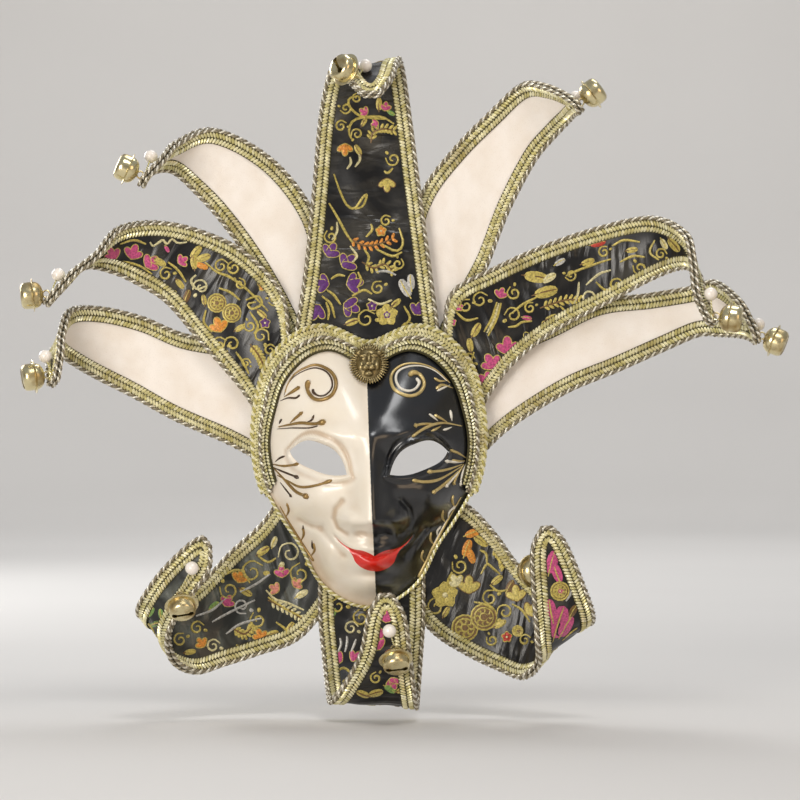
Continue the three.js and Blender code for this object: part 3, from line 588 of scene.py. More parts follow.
IVORY_BROWN = [
    ([(284, 396), (287, 386), (294, 377), (304, 371), (315, 368), (325, 371), (331, 378), (332, 387),
      (327, 394), (320, 396), (314, 393), (313, 389)], 0.3, 0.6, 1.0),
    ([(280, 401), (288, 398), (296, 398), (300, 395)], 0.3, 0.7, 0.8),
    ([(279, 424), (282, 419)], 0.3, 0.8, 1.0), ([(307, 422), (312, 420), (314, 415)], 0.3, 0.8, 1.2),
    ([(270, 466), (284, 472), (299, 478)], 0.3, 0.7, 1.3), ([(280, 482), (292, 497)], 0.3, 0.6, 1.1),
    ([(275, 462), (280, 458), (285, 456)], 0.3, 0.7, 1.1),
    ([(277, 429), (292, 428), (308, 428), (318, 426)], 0.3, 0.5, 0.5),
    ([(303, 525), (304, 532)], 0.3, 0.8, 1.1), ([(312, 540), (313, 549)], 0.3, 0.8, 1.2),
]
BLACK_GOLD = [
    ([(450, 383), (436, 370), (421, 364), (406, 364), (395, 370), (391, 379), (395, 390), (408, 396),
      (419, 393), (424, 384), (420, 375), (413, 373), (409, 376)], 0.5, 1.2, 1.9),
    ([(453, 388), (442, 385), (436, 389)], 0.4, 1.0, 1.4),
    ([(446, 381), (439, 381), (434, 378)], 0.4, 0.9, 1.4),
    ([(462, 426), (442, 423), (425, 428), (412, 437)], 0.5, 1.0, 1.0),
    ([(440, 424), (424, 424), (414, 426)], 0.4, 0.9, 1.7),
    ([(447, 422), (440, 418), (434, 415)], 0.4, 0.9, 1.6),
    ([(441, 426), (436, 429), (431, 431)], 0.4, 0.8, 1.3),
    ([(466, 458), (458, 453), (450, 450)], 0.4, 0.9, 1.3),
    ([(465, 461), (458, 461), (452, 460)], 0.4, 0.8, 1.3),
    ([(463, 464), (445, 470), (427, 472)], 0.4, 0.9, 1.4),
    ([(462, 466), (440, 479), (425, 482), (412, 480)], 0.5, 1.1, 1.3),
    ([(463, 467), (443, 485), (432, 493)], 0.4, 1.1, 1.5),
    ([(464, 464), (456, 477), (453, 485)], 0.4, 0.9, 1.5),
    ([(461, 497), (452, 512), (444, 526), (436, 541), (431, 550), (424, 565), (418, 577)], 0.5, 1.1, 1.2),
    ([(455, 508), (452, 501), (453, 495)], 0.4, 0.9, 1.5),
    ([(446, 523), (442, 517), (443, 510)], 0.4, 0.9, 1.4),
    ([(434, 545), (430, 539), (431, 532)], 0.4, 0.9, 1.4),
    ([(425, 563), (421, 557), (423, 550)], 0.4, 0.8, 1.3),
]
BLACK_WHITE = [
    ([(447, 381), (435, 371), (421, 366), (407, 367), (398, 372), (396, 380), (400, 388), (408, 391),
      (415, 389), (419, 383), (416, 378)], 0.4, 0.9, 1.2),
    ([(450, 385), (443, 388), (437, 391)], 0.3, 0.8, 1.3),
    ([(438, 421), (433, 417), (429, 414)], 0.3, 0.8, 1.5),
    ([(452, 421), (451, 416), (450, 410)], 0.3, 1.0, 1.5),
    ([(452, 427), (447, 429), (443, 430)], 0.3, 0.8, 1.2),
    ([(464, 462), (454, 462), (445, 461)], 0.3, 0.9, 1.4),
    ([(463, 467), (453, 478), (445, 487)], 0.3, 0.9, 1.5),
    ([(466, 463), (462, 474), (460, 486)], 0.3, 0.8, 1.3),
    ([(448, 520), (449, 512), (455, 506)], 0.3, 0.8, 1.3),
    ([(438, 538), (437, 531), (441, 526)], 0.3, 0.8, 1.2),
    ([(459, 500), (450, 515), (441, 530), (433, 545)], 0.2, 0.5, 0.5),
]
print("paint lines", len(IVORY_GOLD) + len(IVORY_BROWN) + len(BLACK_GOLD) + len(BLACK_WHITE))

# %% Paint for the lines
line_paints, BLOT = {}, 3.846  # millimetres from blot to blot
# squeezed gold, brown and white paint: thick satin beads with a broken tone
for name, light, dark, metal in (("gold", "b9985a", "6e5226", 0.5), ("brown", "523617", "24160b", 0.1),
                                 ("white", "f4f0e6", "cfc8b4", 0.0),
                                 ("pale_gold", "e2cf94", "a98b48", 0.5)):
    made, tree, shader = material(f"{name} line paint", Metallic=metal, Roughness=0.34, Coat_Weight=0.3)
    spot = add(tree, "ShaderNodeTexCoord", {}).outputs["Object"]
    blots = add(tree, "ShaderNodeTexNoise", {"Vector": spot, "Scale": per(BLOT), "Detail": 3.0})
    tone = add(tree, "ShaderNodeMix", {0: blots.outputs["Fac"], A: light, B: dark}, **RGBA)
    tree.links.new(tone.outputs[MIXED], shader.inputs["Base Color"])
    line_paints[name] = made
print("line paints", list(line_paints))

# %% Squeeze the lines on
ground = surface_of(face)
for name, table, finish in (("ivory_gold_lines", IVORY_GOLD, "gold"),
                            ("ivory_brown_lines", IVORY_BROWN, "brown"),
                            ("black_gold_lines", BLACK_GOLD, "pale_gold"),
                            ("black_white_lines", BLACK_WHITE, "white")):
    shapes = [bead_line(ground, *row) for row in table]
    corners, faces, _ = joined([shape + (0.5,) for shape in shapes if shape])
    dress(mesh_piece(name, corners, faces), [line_paints[finish]], ())
    print(name, len(faces), "faces")

# %% [markdown]
# ## The ten points
# Each point is a stiffened cloth panel, cut wide at the face and narrow at the tip, and bent so that the
# tip comes forward. A cloth simulation would let it droop, so two smooth edge lines from base to tip give
# the panel its shape; every row of the tables holds one spot of the first edge and one of the second.

# %% Edge lines of the points
ROWS = {
    "top": [
        (-56, 3, 80, 53, 3, 80), (-47, 6, 140, 45, 6, 140), (-41, 9, 200, 37, 9, 200),
        (-36, 8, 255, 30, 8, 255), (-29, -1, 287, 24, -1, 294), (-20, -20, 291, 20, -20, 294),
        (-14, -41, 280, 16, -41, 281), (-3, -53, 268, 7, -53, 268)],
    "upper_left": [
        (-22, 8.6, 84, -54, 8.6, 82), (-34, 15, 150, -72, 13, 120), (-46, 18, 190, -90, 16, 150),
        (-76, 18, 226, -112, 17, 180), (-116, 8, 246, -131, 13, 201), (-143, -11, 235, -148, 3, 216),
        (-152, -29, 223, -162, -17, 214), (-165, -43, 207, -168, -37, 202)],
    "mid_left": [
        (-60, 3, 84, -80, 3, 30), (-66, 5, 122, -98, 5, 56), (-92, 8, 152, -126, 8, 88),
        (-122, 9, 168, -152, 9, 118), (-156, 4, 176, -176, 8, 133), (-186, -10, 171, -194, 2, 141),
        (-202, -27, 151, -212, -11, 144), (-219, -42, 136, -225, -27, 130),
        (-235, -50, 117, -238, -42, 114)],
    "low_left": [
        (-60, 6.5, 72, -80, 6.5, -2), (-96, 12, 84, -106, 12, 12), (-140, 18, 92, -145, 18, 29),
        (-172, 18, 105, -178, 18, 47), (-203, 10, 112, -207, 12, 62), (-223, -6, 110, -226, 0, 74),
        (-228, -26, 93, -234, -12, 82), (-228, -40, 78, -236, -30, 69), (-230, -51, 58, -234, -45, 54)],
    "upper_right": [
        (22, 8.6, 84, 55, 8.6, 80), (30, 15, 160, 74, 13, 118), (42, 18, 202, 88, 16, 145),
        (66, 19, 234, 104, 18, 186), (92, 15, 260, 124, 15, 224), (114, 4, 279, 139, 7, 242),
        (130, -14, 277, 149, -5, 252), (145, -30, 269, 154, -22, 257), (154, -42, 261, 157, -38, 257)],
    "mid_right": [
        (57, 3, 82, 79, 3, 30), (62, 5, 122, 92, 5, 52), (93, 8, 141, 110, 8, 74),
        (133, 9, 159, 140, 9, 97), (176, 6, 173, 178, 8, 117), (212, -6, 179, 212, 2, 135),
        (234, -26, 167, 234, -12, 143), (239, -42, 148, 243, -30, 138), (241, -57, 122, 247, -47, 118),
        (249, -65, 101, 254, -58, 99)],
    "low_right": [
        (62, 7, 74, 80, 7, 0), (98, 14, 84, 106, 14, 24), (136, 18, 100, 148, 18, 50),
        (172, 19, 117, 186, 19, 66), (210, 16, 122, 222, 17, 82), (241, 8, 127, 248, 10, 93),
        (258, -6, 131, 264, 0, 93), (274, -26, 117, 276, -16, 92), (281, -38, 103, 283, -30, 90),
        (286, -46, 91, 287, -41, 86)],
    "collar_left": [
        (-66, 9, -30, -24, 9, -100), (-80, 10, -50, -52, 10.5, -134), (-104, 10, -72, -82, 8, -146),
        (-126, 6, -95, -108, 2, -154), (-150, -4, -113, -128, -10, -159),
        (-166, -22, -118, -144, -28, -150), (-168, -42, -108, -148, -46, -130),
        (-152, -56, -84, -137, -58, -108), (-132, -62, -64, -118, -64, -82),
        (-121, -64, -57, -116, -64, -63)],
    "collar_centre": [
        (-36, 3, -84, 40, 3, -86), (-36, 4, -118, 40, 4, -120), (-33, 0, -150, 38, 0, -152),
        (-30, -14, -173, 36, -14, -177), (-27, -34, -179, 35, -34, -183), (-18, -50, -168, 33, -52, -170),
        (-5, -60, -143, 30, -62, -146), (1, -66, -114, 26, -67, -116), (9, -68, -99, 17, -68, -99)],
    "collar_right": [
        (64, 9, -30, 24, 9, -100), (80, 10, -42, 48, 10.5, -130), (96, 10, -60, 74, 8, -147),
        (112, 7, -82, 98, 2, -158), (138, -2, -108, 114, -12, -163), (160, -20, -122, 126, -28, -152),
        (165, -40, -115, 125, -46, -132), (157, -54, -92, 122, -56, -98), (144, -60, -62, 121, -60, -66),
        (134, -62, -50, 128, -62, -50)],
}
CREAM = ("upper_left", "low_left", "upper_right", "low_right")
print("points", list(ROWS))

# %% Strips between the edges
FINE = np.linspace(0, 1, 600)


class Strip:
    """A panel between two smooth edges: s runs from base to tip, t from the first edge to the second."""

    def __init__(self, rows):
        rows = np.array(rows, float)
        self.first, self.second, self.face = rows[:, :3], rows[:, 3:], 1.0
        if self.normal(np.array([0.1]), np.array([0.5]))[0, 1] > 0:
            self.face = -1.0

    def spot(self, s, t):
        """A place on the panel."""
        a, b = smooth_line(self.first, s), smooth_line(self.second, s)
        return a + (b - a) * t[..., None]

    def width(self, s):
        """Millimetres from edge to edge."""
        return np.linalg.norm(smooth_line(self.second, s) - smooth_line(self.first, s), axis=-1)

    def normal(self, s, t):
        """The way out of the panel's front."""
        low, high = np.clip(s - 0.004, 0, 1), np.clip(s + 0.004, 0, 1)
        over = smooth_line(self.second, s) - smooth_line(self.first, s)
        return self.face * unit(np.cross(self.spot(high, t) - self.spot(low, t), over))

    def left(self, s):
        """Millimetres along the middle from s to the tip."""
        fine = np.linspace(0, 1, 801)
        middle = self.spot(fine, np.full(801, 0.5))
        gone = np.concatenate([[0], np.cumsum(np.linalg.norm(np.diff(middle, axis=0), axis=1))])
        return gone[-1] - np.interp(s, fine, gone)


strips = {name: Strip(rows) for name, rows in ROWS.items()}
print({name: round(float(strip.left(np.zeros(1))[0])) for name, strip in strips.items()}, "mm long")

# %% [markdown]
# ## Cloth
# The cream points are a soft suede-like cloth with a plain grey back; the others are black satin
# brocade, greyer on one collar point. The woven motifs are separate raised threads, so the ground needs
# only its satin gleam, a fine rib, slow patches of painted sheen and the slanted crinkles of cloth that is
# pulled over a stiff lining. All of it reads the cut attribute, millimetres along and across the flat
# panel.

# %% Cream suede
grounds = {}
SOIL, NAP = 22.22, 0.9091  # millimetres between stains and between tufts; a real nap is too fine to show
# cream suede: a matt, slightly dirty pale cloth with a short nap
made, tree, shader = material("cream suede cloth", Roughness=0.92, Sheen_Weight=0.35, Sheen_Roughness=0.5)
cut = add(tree, "ShaderNodeAttribute", {}, attribute_name="cut").outputs["Vector"]
sides = add(tree, "ShaderNodeSeparateXYZ", {0: cut})
soil = add(tree, "ShaderNodeTexNoise", {"Vector": cut, "Scale": 1 / SOIL, "Detail": 5.0})
nap = add(tree, "ShaderNodeTexNoise", {"Vector": cut, "Scale": 1 / NAP, "Detail": 3.0})
worn = add(tree, "ShaderNodeMapRange", {"Value": soil.outputs["Fac"], "From Min": 0.38, "From Max": 0.72})
pale = add(tree, "ShaderNodeMix", {0: worn.outputs[0], A: "f3ebe2", B: "eadfd2"}, **RGBA)
fleck = add(tree, "ShaderNodeMapRange",
            {"Value": nap.outputs["Fac"], "From Min": 0.6, "From Max": 0.8, "To Max": 0.35})
pale = add(tree, "ShaderNodeMix", {0: fleck.outputs[0], A: pale.outputs[MIXED], B: "b09c86"}, **RGBA)
reverse = add(tree, "ShaderNodeMix", {0: worn.outputs[0], A: "a19d95", B: "7b766e"}, **RGBA)
reverse = add(tree, "ShaderNodeMix", {0: fleck.outputs[0], A: reverse.outputs[MIXED], B: "4d4943"}, **RGBA)
front_side = add(tree, "ShaderNodeMapRange",
                 {"Value": sides.outputs["Z"], "From Min": -0.5, "From Max": 0.5})
both = add(tree, "ShaderNodeMix",
           {0: front_side.outputs[0], A: reverse.outputs[MIXED], B: pale.outputs[MIXED]}, **RGBA)
pile = add(tree, "ShaderNodeBump", {"Height": nap.outputs["Fac"], "Strength": 0.35, "Distance": 0.0004})
tree.links.new(both.outputs[MIXED], shader.inputs["Base Color"])
tree.links.new(pile.outputs[0], shader.inputs["Normal"])
grounds["cream"] = made
print("cream suede made")

# %% Satin brocade
SHEEN_PATCH, CRINKLE_WIDE, CRINKLE_LONG = 28.57, 13.333, 45.45  # millimetres between patches of painted sheen and between creases
RIB = 1.0472  # millimetres; the real rib is finer and would not show
# black satin of the crown and grey-green satin of the collar: smooth, folded, with a silky gleam and
# lighter patches of painted sheen
for name, dark, light in (("crown", "040304", "47433a"), ("collar", "1c1e1a", "757970")):
    made, tree, shader = material(f"{name} satin brocade", Specular_IOR_Level=0.5, Sheen_Weight=0.05,
                                  Sheen_Roughness=0.3)
    cut = add(tree, "ShaderNodeAttribute", {}, attribute_name="cut").outputs["Vector"]
    sheen_patches = add(tree, "ShaderNodeTexNoise", {"Vector": cut, "Scale": 1 / SHEEN_PATCH, "Detail": 3.0,
                                             "Distortion": 0.6})
    rib = add(tree, "ShaderNodeTexWave", {"Vector": cut, "Distortion": 0.5,
                                          "Scale": math.pi / 10 / RIB})  # a wave is pi / 10 long at scale 1
    # the lighter colour in patches is painted sheen, where light would catch the satin; the same patches
    # are glossier and more creased
    tone = add(tree, "ShaderNodeMapRange",
               {"Value": sheen_patches.outputs["Fac"], "From Min": 0.47, "From Max": 0.78})
    satin = add(tree, "ShaderNodeMix", {0: tone.outputs[0], A: dark, B: light}, **RGBA)
    gleam = add(tree, "ShaderNodeMapRange", {"Value": sheen_patches.outputs["Fac"], "To Min": 0.38, "To Max": 0.2})
    slanted = add(tree, "ShaderNodeMapping", {"Vector": cut, "Rotation": (0, 0, 0.9),
                                              "Scale": (1 / CRINKLE_WIDE, 1 / CRINKLE_LONG, 0.1)})
    crinkle = add(tree, "ShaderNodeTexNoise",
                  {"Vector": slanted.outputs[0], "Scale": 1.0, "Detail": 1.5, "Distortion": 1.0})
    loose = add(tree, "ShaderNodeMapRange",
                {"Value": sheen_patches.outputs["Fac"], "From Min": 0.4, "From Max": 0.65, "To Max": 0.9})
    creased = add(tree, "ShaderNodeBump",
                  {"Height": crinkle.outputs["Fac"], "Strength": loose.outputs[0], "Distance": 0.006})
    ribbed = add(tree, "ShaderNodeBump", {"Height": rib.outputs["Fac"], "Strength": 0.12,
                                          "Distance": 0.0002, "Normal": creased.outputs[0]})
    tree.links.new(satin.outputs[MIXED], shader.inputs["Base Color"])
    tree.links.new(gleam.outputs[0], shader.inputs["Roughness"])
    tree.links.new(ribbed.outputs[0], shader.inputs["Normal"])
    grounds[name] = made
print("cloth finishes made")

# %% [markdown]
# ## Cloth panels
# A plane bent by modifiers would not keep to both edges, so a panel is a grid laid between them, with a
# front and a back skin two millimetres apart. It stops just inside the folded braid. Slack shows as shallow
# ripples and a few sharper creases that fade out at the braid. Its cut is nearly flat, so its area is that
# of the pattern piece it was sewn from.

# %% A closed sheet
def slab(front, back):
    """A closed sheet between two grids of points, with its four edges."""
    n, m = front.shape[:2]
    i, j = np.meshgrid(np.arange(n - 1), np.arange(m - 1), indexing="ij")
    low = (i * m + j).ravel()
    top = np.stack([low, low + 1, low + m + 1, low + m], 1)
    rim = np.concatenate([np.arange(m), np.arange(1, n) * m + m - 1,
                          (n - 1) * m + np.arange(m - 2, -1, -1), np.arange(n - 2, 0, -1) * m])
    following = np.roll(rim, -1)
    edge = np.stack([rim, rim + n * m, following + n * m, following], 1)
    corners = np.concatenate([front.reshape(-1, 3), back.reshape(-1, 3)])
    return corners, np.concatenate([top, top[:, ::-1] + n * m, edge]).tolist()


print("sheet of one square:", len(slab(np.zeros((2, 2, 3)), np.ones((2, 2, 3)))[1]), "faces")

# %% Build the panels
HEM, HALF = 1.5, 1.0  # how far inside the edge the cloth stops, and half its thickness
LONG_STEPS, CROSS_STEPS = 130, 21
TIGHT, LOOSE = 0.25, 0.9  # how high the ripples stand on cream cloth and on brocade
# millimetres for each radian of the waves that make ripples, creases and places without creases
RIPPLE, CREASE, PATCHY = (11, 9, 29, 17), (4.4, 7, 13, 31), (24, 40)
panels, sheets = {}, {}
for order, (name, strip) in enumerate(strips.items()):
    s = np.interp(np.linspace(0, 1, LONG_STEPS), [0, 1], [0, FINE[strip.left(FINE) > HEM][-1]])
    t = np.linspace(0, 1, CROSS_STEPS)
    s, t = np.meshgrid(s, t, indexing="ij")
    width = strip.width(s)
    inside = np.clip(HEM / width, 0, 0.4)
    t_in = inside + t * (1 - 2 * inside)
    along, across = strip.left(s[:, :1]).max() - strip.left(s), (t_in - 0.5) * width
    slack = TIGHT if name in CREAM else LOOSE
    ripple = np.sin(along / RIPPLE[0] + across / RIPPLE[1] + order)
    ripple *= np.sin(along / RIPPLE[2] - across / RIPPLE[3] + 2 * order)
    bent = 1.7 * np.sin(across / CREASE[2] + along / CREASE[3] + order)
    creases = 1 - np.abs(np.sin(along / CREASE[0] - across / CREASE[1] + bent))
    creases *= ease(np.sin(along / PATCHY[0] + across / PATCHY[1] + order), -0.3, 0.9)
    ripple = slack * (ripple + 1.2 * creases) * np.sin(math.pi * t) ** 0.7 * ease(width, 12, 34)
    normal = strip.normal(s, t_in)
    middle = strip.spot(s, t_in) + normal * ripple[..., None]
    corners, faces = slab(middle + normal * HALF, middle - normal * HALF)
    cloth = mesh_piece(f"{name}_cloth", corners, faces)
    where = np.stack([along + 400 * order, across, np.ones_like(along)], -1).reshape(-1, 3)
    note(cloth, "cut", np.concatenate([where, where * [1, 1, -1]]))
    kind = "cream" if name in CREAM else "collar" if name == "collar_left" else "crown"
    dress(cloth, [grounds[kind]], [f"{name}_point"])
    panels[name] = cloth
    length, wide = float(strip.left(np.zeros(1))[0]), float(width.max())
    area = float(np.linalg.norm(np.cross(np.diff(middle, axis=0)[:, :-1], np.diff(middle, axis=1)[:-1]),
                                axis=-1).sum())
    sheets[name] = (wide * MM, length * MM, area * MM * MM)
    print(name, "cut", round(wide), "x", round(length), "mm, area", round(area / 100), "square cm")

# %% [markdown]
# ## Woven motifs
# The brocade's flowers, leaves, curls and coins are thick coloured threads over the satin. Each is drawn
# as seen from the front and dropped onto the panel: petals and leaves become little padded patches, and
# lines become flattened threads. The same drawing dropped from behind gives the reverse of the cloth, and
# where the panel curls out of both views it gets a plain repeat, laid straight down onto the strip.

# %% Motifs of the crown
TINT = {"gold": "c7b45a", "pale": "ddd3a0", "pink": "cd4f86", "salmon": "d98a78", "orange": "de9030",
        "purple": "5e2274", "green": "7fa452", "silver": "bfbdb6", "red": "b8321e", "brown": "7a5a2c"}
# A flower or coin is x, y and radius. A lily or curl adds its turn in degrees, and a curl the way it winds.
# A leaf is x, y, length and turn. A line or fern is its points.
MOTIFS = {
    "top": {
        "gold curl": [(346, 108, 5, 200, 1), (378, 288, 6, 60, 1), (357, 98, 4, 90, 1),
            (341, 126, 5, 30, 1), (357, 134, 5, 200, -1), (393, 159, 6, 170, 1), (331, 237, 6, 120, 1),
            (386, 221, 5, 40, 1), (366, 319, 8, 30, 1), (408, 330, 7, 20, 1), (398, 264, 5, 60, -1)],
        "gold leaf": [(358, 150, 12, 120), (396, 303, 12, 40), (352, 322, 14, 20), (379, 104, 13, 90),
            (364, 122, 10, 60)],
        "gold fern": [[(362, 262), (374, 268), (384, 264), (392, 270)],
            [(371, 143), (373, 133), (382, 129), (393, 130)]],
        "gold line": [[(358, 272), (361, 280), (357, 288)], [(352, 296), (364, 290), (372, 294)],
            [(404, 306), (410, 318), (404, 326)],
            [(357, 96), (349, 99), (350, 107), (359, 115), (372, 118), (386, 119)],
            [(394, 124), (382, 117), (366, 117), (353, 121), (349, 132), (353, 141)],
            [(393, 168), (388, 173), (384, 171)],
            [(334, 174), (340, 191), (347, 205), (355, 208), (363, 197), (367, 195), (363, 206),
             (355, 209)],
            [(329, 203), (338, 218), (346, 233), (353, 243)],
            [(380, 243), (396, 251), (403, 243), (399, 228)], [(376, 249), (392, 256), (402, 252)],
            [(364, 249), (369, 257), (366, 266)], [(366, 237), (372, 230), (371, 224)],
            [(327, 290), (334, 295), (341, 305)], [(326, 302), (329, 311), (328, 320)],
            [(331, 279), (338, 275), (345, 276)], [(322, 296), (331, 304), (335, 318)]],
        "purple flower": [(372, 306, 5), (387, 315, 4)],
        "pink lily": [(366, 113, 6, 150), (385, 109, 6, 80), (377, 123, 5, 200)],
        "green leaf": [(391, 113, 9, -30)],
        "orange lily": [(345, 146, 8, -90)],
        "pale line": [[(350, 157), (351, 163), (347, 169)], [(359, 154), (360, 160), (355, 167)],
            [(337, 222), (337, 232), (332, 240)], [(350, 246), (357, 256), (352, 262)],
            [(368, 299), (380, 304), (392, 300)]],
        "gold lily": [(387, 181, 9, -90)],
        "orange fern": [[(347, 237), (362, 245), (376, 245), (392, 239)]],
        "orange flower": [(381, 231, 5)],
        "purple lily": [(329, 254, 10, 60), (345, 265, 11, 45), (350, 284, 11, 10), (347, 305, 11, -25),
            (326, 284, 10, 170), (318, 308, 11, 240), (416, 312, 9, 60)],
        "silver leaf": [(405, 288, 20, 120), (411, 282, 16, 95)],
        "silver line": [[(376, 272), (386, 271), (396, 275)]],
        "gold flower": [(387, 315, 10)],
    },
    "mid_left": {
        "gold line": [[(120, 244), (134, 240), (146, 244)], [(168, 262), (178, 270), (186, 282)],
            [(206, 310), (204, 322), (212, 332)], [(112, 262), (126, 262), (140, 266), (152, 274)],
            [(205, 262), (217, 272), (230, 277), (249, 291), (268, 311)],
            [(236, 352), (243, 362), (249, 374)],
            [(246, 300), (258, 296), (262, 304), (252, 309), (248, 304), (256, 302)],
            [(250, 312), (258, 325), (254, 334)], [(219, 288), (230, 292), (240, 300)]],
        "gold leaf": [(160, 262, 14, -30), (180, 284, 12, -50), (240, 328, 12, 30), (204, 300, 11, 100),
            (196, 252, 16, 50), (203, 258, 16, 20), (194, 262, 15, 95), (262, 314, 12, -40)],
        "gold curl": [(166, 274, 6, 40, 1), (250, 326, 5, 150, 1), (270, 350, 5, 20, 1),
            (221, 266, 6, 20, 1), (234, 268, 6, 90, 1), (219, 345, 7, 30, 1), (232, 344, 7, 200, -1),
            (246, 363, 4, 0, 1), (261, 336, 7, 330, 1), (240, 284, 5, 100, -1), (274, 300, 5, 200, 1)],
        "pink lily": [(180, 262, 7, 30), (132, 256, 10, 70), (114, 257, 9, 120), (148, 265, 10, 40),
            (135, 272, 8, 200), (152, 285, 8, -60)],
        "gold fern": [[(250, 344), (258, 354), (264, 366)]],
        "pink leaf": [(167, 249, 8, -60)],
        "orange lily": [(172, 300, 9, 130), (220, 329, 10, 110)],
        "pale line": [
            [(150, 242), (153, 246), (158, 243), (163, 240), (167, 244), (172, 239), (178, 243),
             (187, 242)],
            [(196, 275), (191, 281), (197, 289), (206, 286)]],
        "orange leaf": [(202, 266, 13, -20)],
        "pale curl": [(201, 287, 7, 200, -1)],
        "gold coin": [(217, 303, 9), (232, 313, 9)],
        "orange flower": [(264, 285, 6)],
        "purple flower": [(265, 323, 5)],
        "brown leaf": [(187, 296, 14, 70)],
    },
    "mid_right": {
        "gold curl": [(480, 300, 7, 30, 1), (468, 360, 6, 10, 1), (604, 252, 5, 60, 1),
            (466, 306, 6, 60, 1), (514, 293, 6, 120, 1), (513, 315, 7, 180, -1), (530, 308, 5, 60, 1),
            (571, 275, 5, 200, 1), (661, 254, 5, 0, 1), (616, 285, 6, 10, 1), (640, 268, 6, 160, 1)],
        "gold line": [[(456, 312), (466, 320), (478, 318)], [(474, 352), (470, 368), (476, 380)],
            [(612, 246), (624, 240), (640, 242)], [(596, 282), (606, 290), (620, 286)],
            [(512, 364), (521, 354), (528, 346)], [(497, 302), (492, 318), (484, 332)],
            [(501, 303), (497, 318), (488, 336)],
            [(514, 286), (532, 284), (560, 288), (581, 278), (609, 271)],
            [(512, 313), (523, 304), (537, 297)], [(508, 327), (516, 326), (522, 322), (532, 321)],
            [(566, 276), (576, 271), (595, 264), (611, 259)], [(655, 240), (650, 252), (659, 260)],
            [(560, 306), (570, 314), (583, 310)], [(620, 262), (633, 256), (645, 257)]],
        "gold leaf": [(476, 330, 16, 60), (470, 345, 14, 100), (552, 318, 14, 20), (588, 262, 14, 20),
            (632, 250, 12, 10), (505, 366, 18, 70), (536, 277, 24, -8), (546, 292, 24, 15),
            (674, 245, 17, -50)],
        "pink lily": [(545, 330, 8, 40), (508, 351, 12, 95), (493, 366, 11, 120), (488, 382, 10, 150),
            (530, 342, 10, 60), (500, 296, 7, 70)],
        "gold fern": [[(540, 308), (552, 304), (566, 300), (578, 300)]],
        "pale leaf": [(664, 244, 12, -60), (549, 278, 16, 30)],
        "pale line": [[(499, 303), (494, 319), (487, 333)], [(579, 282), (578, 294), (574, 304)],
            [(586, 285), (599, 274), (611, 270)]],
        "pink flower": [(459, 307, 4), (452, 322, 4)],
        "pink leaf": [(527, 318, 10, -10)],
        "red leaf": [(598, 243, 16, 15)],
        "pale curl": [(590, 297, 7, 300, -1)],
        "silver leaf": [(560, 262, 12, 30)],
    },
}
print("motifs drawn on", list(MOTIFS))

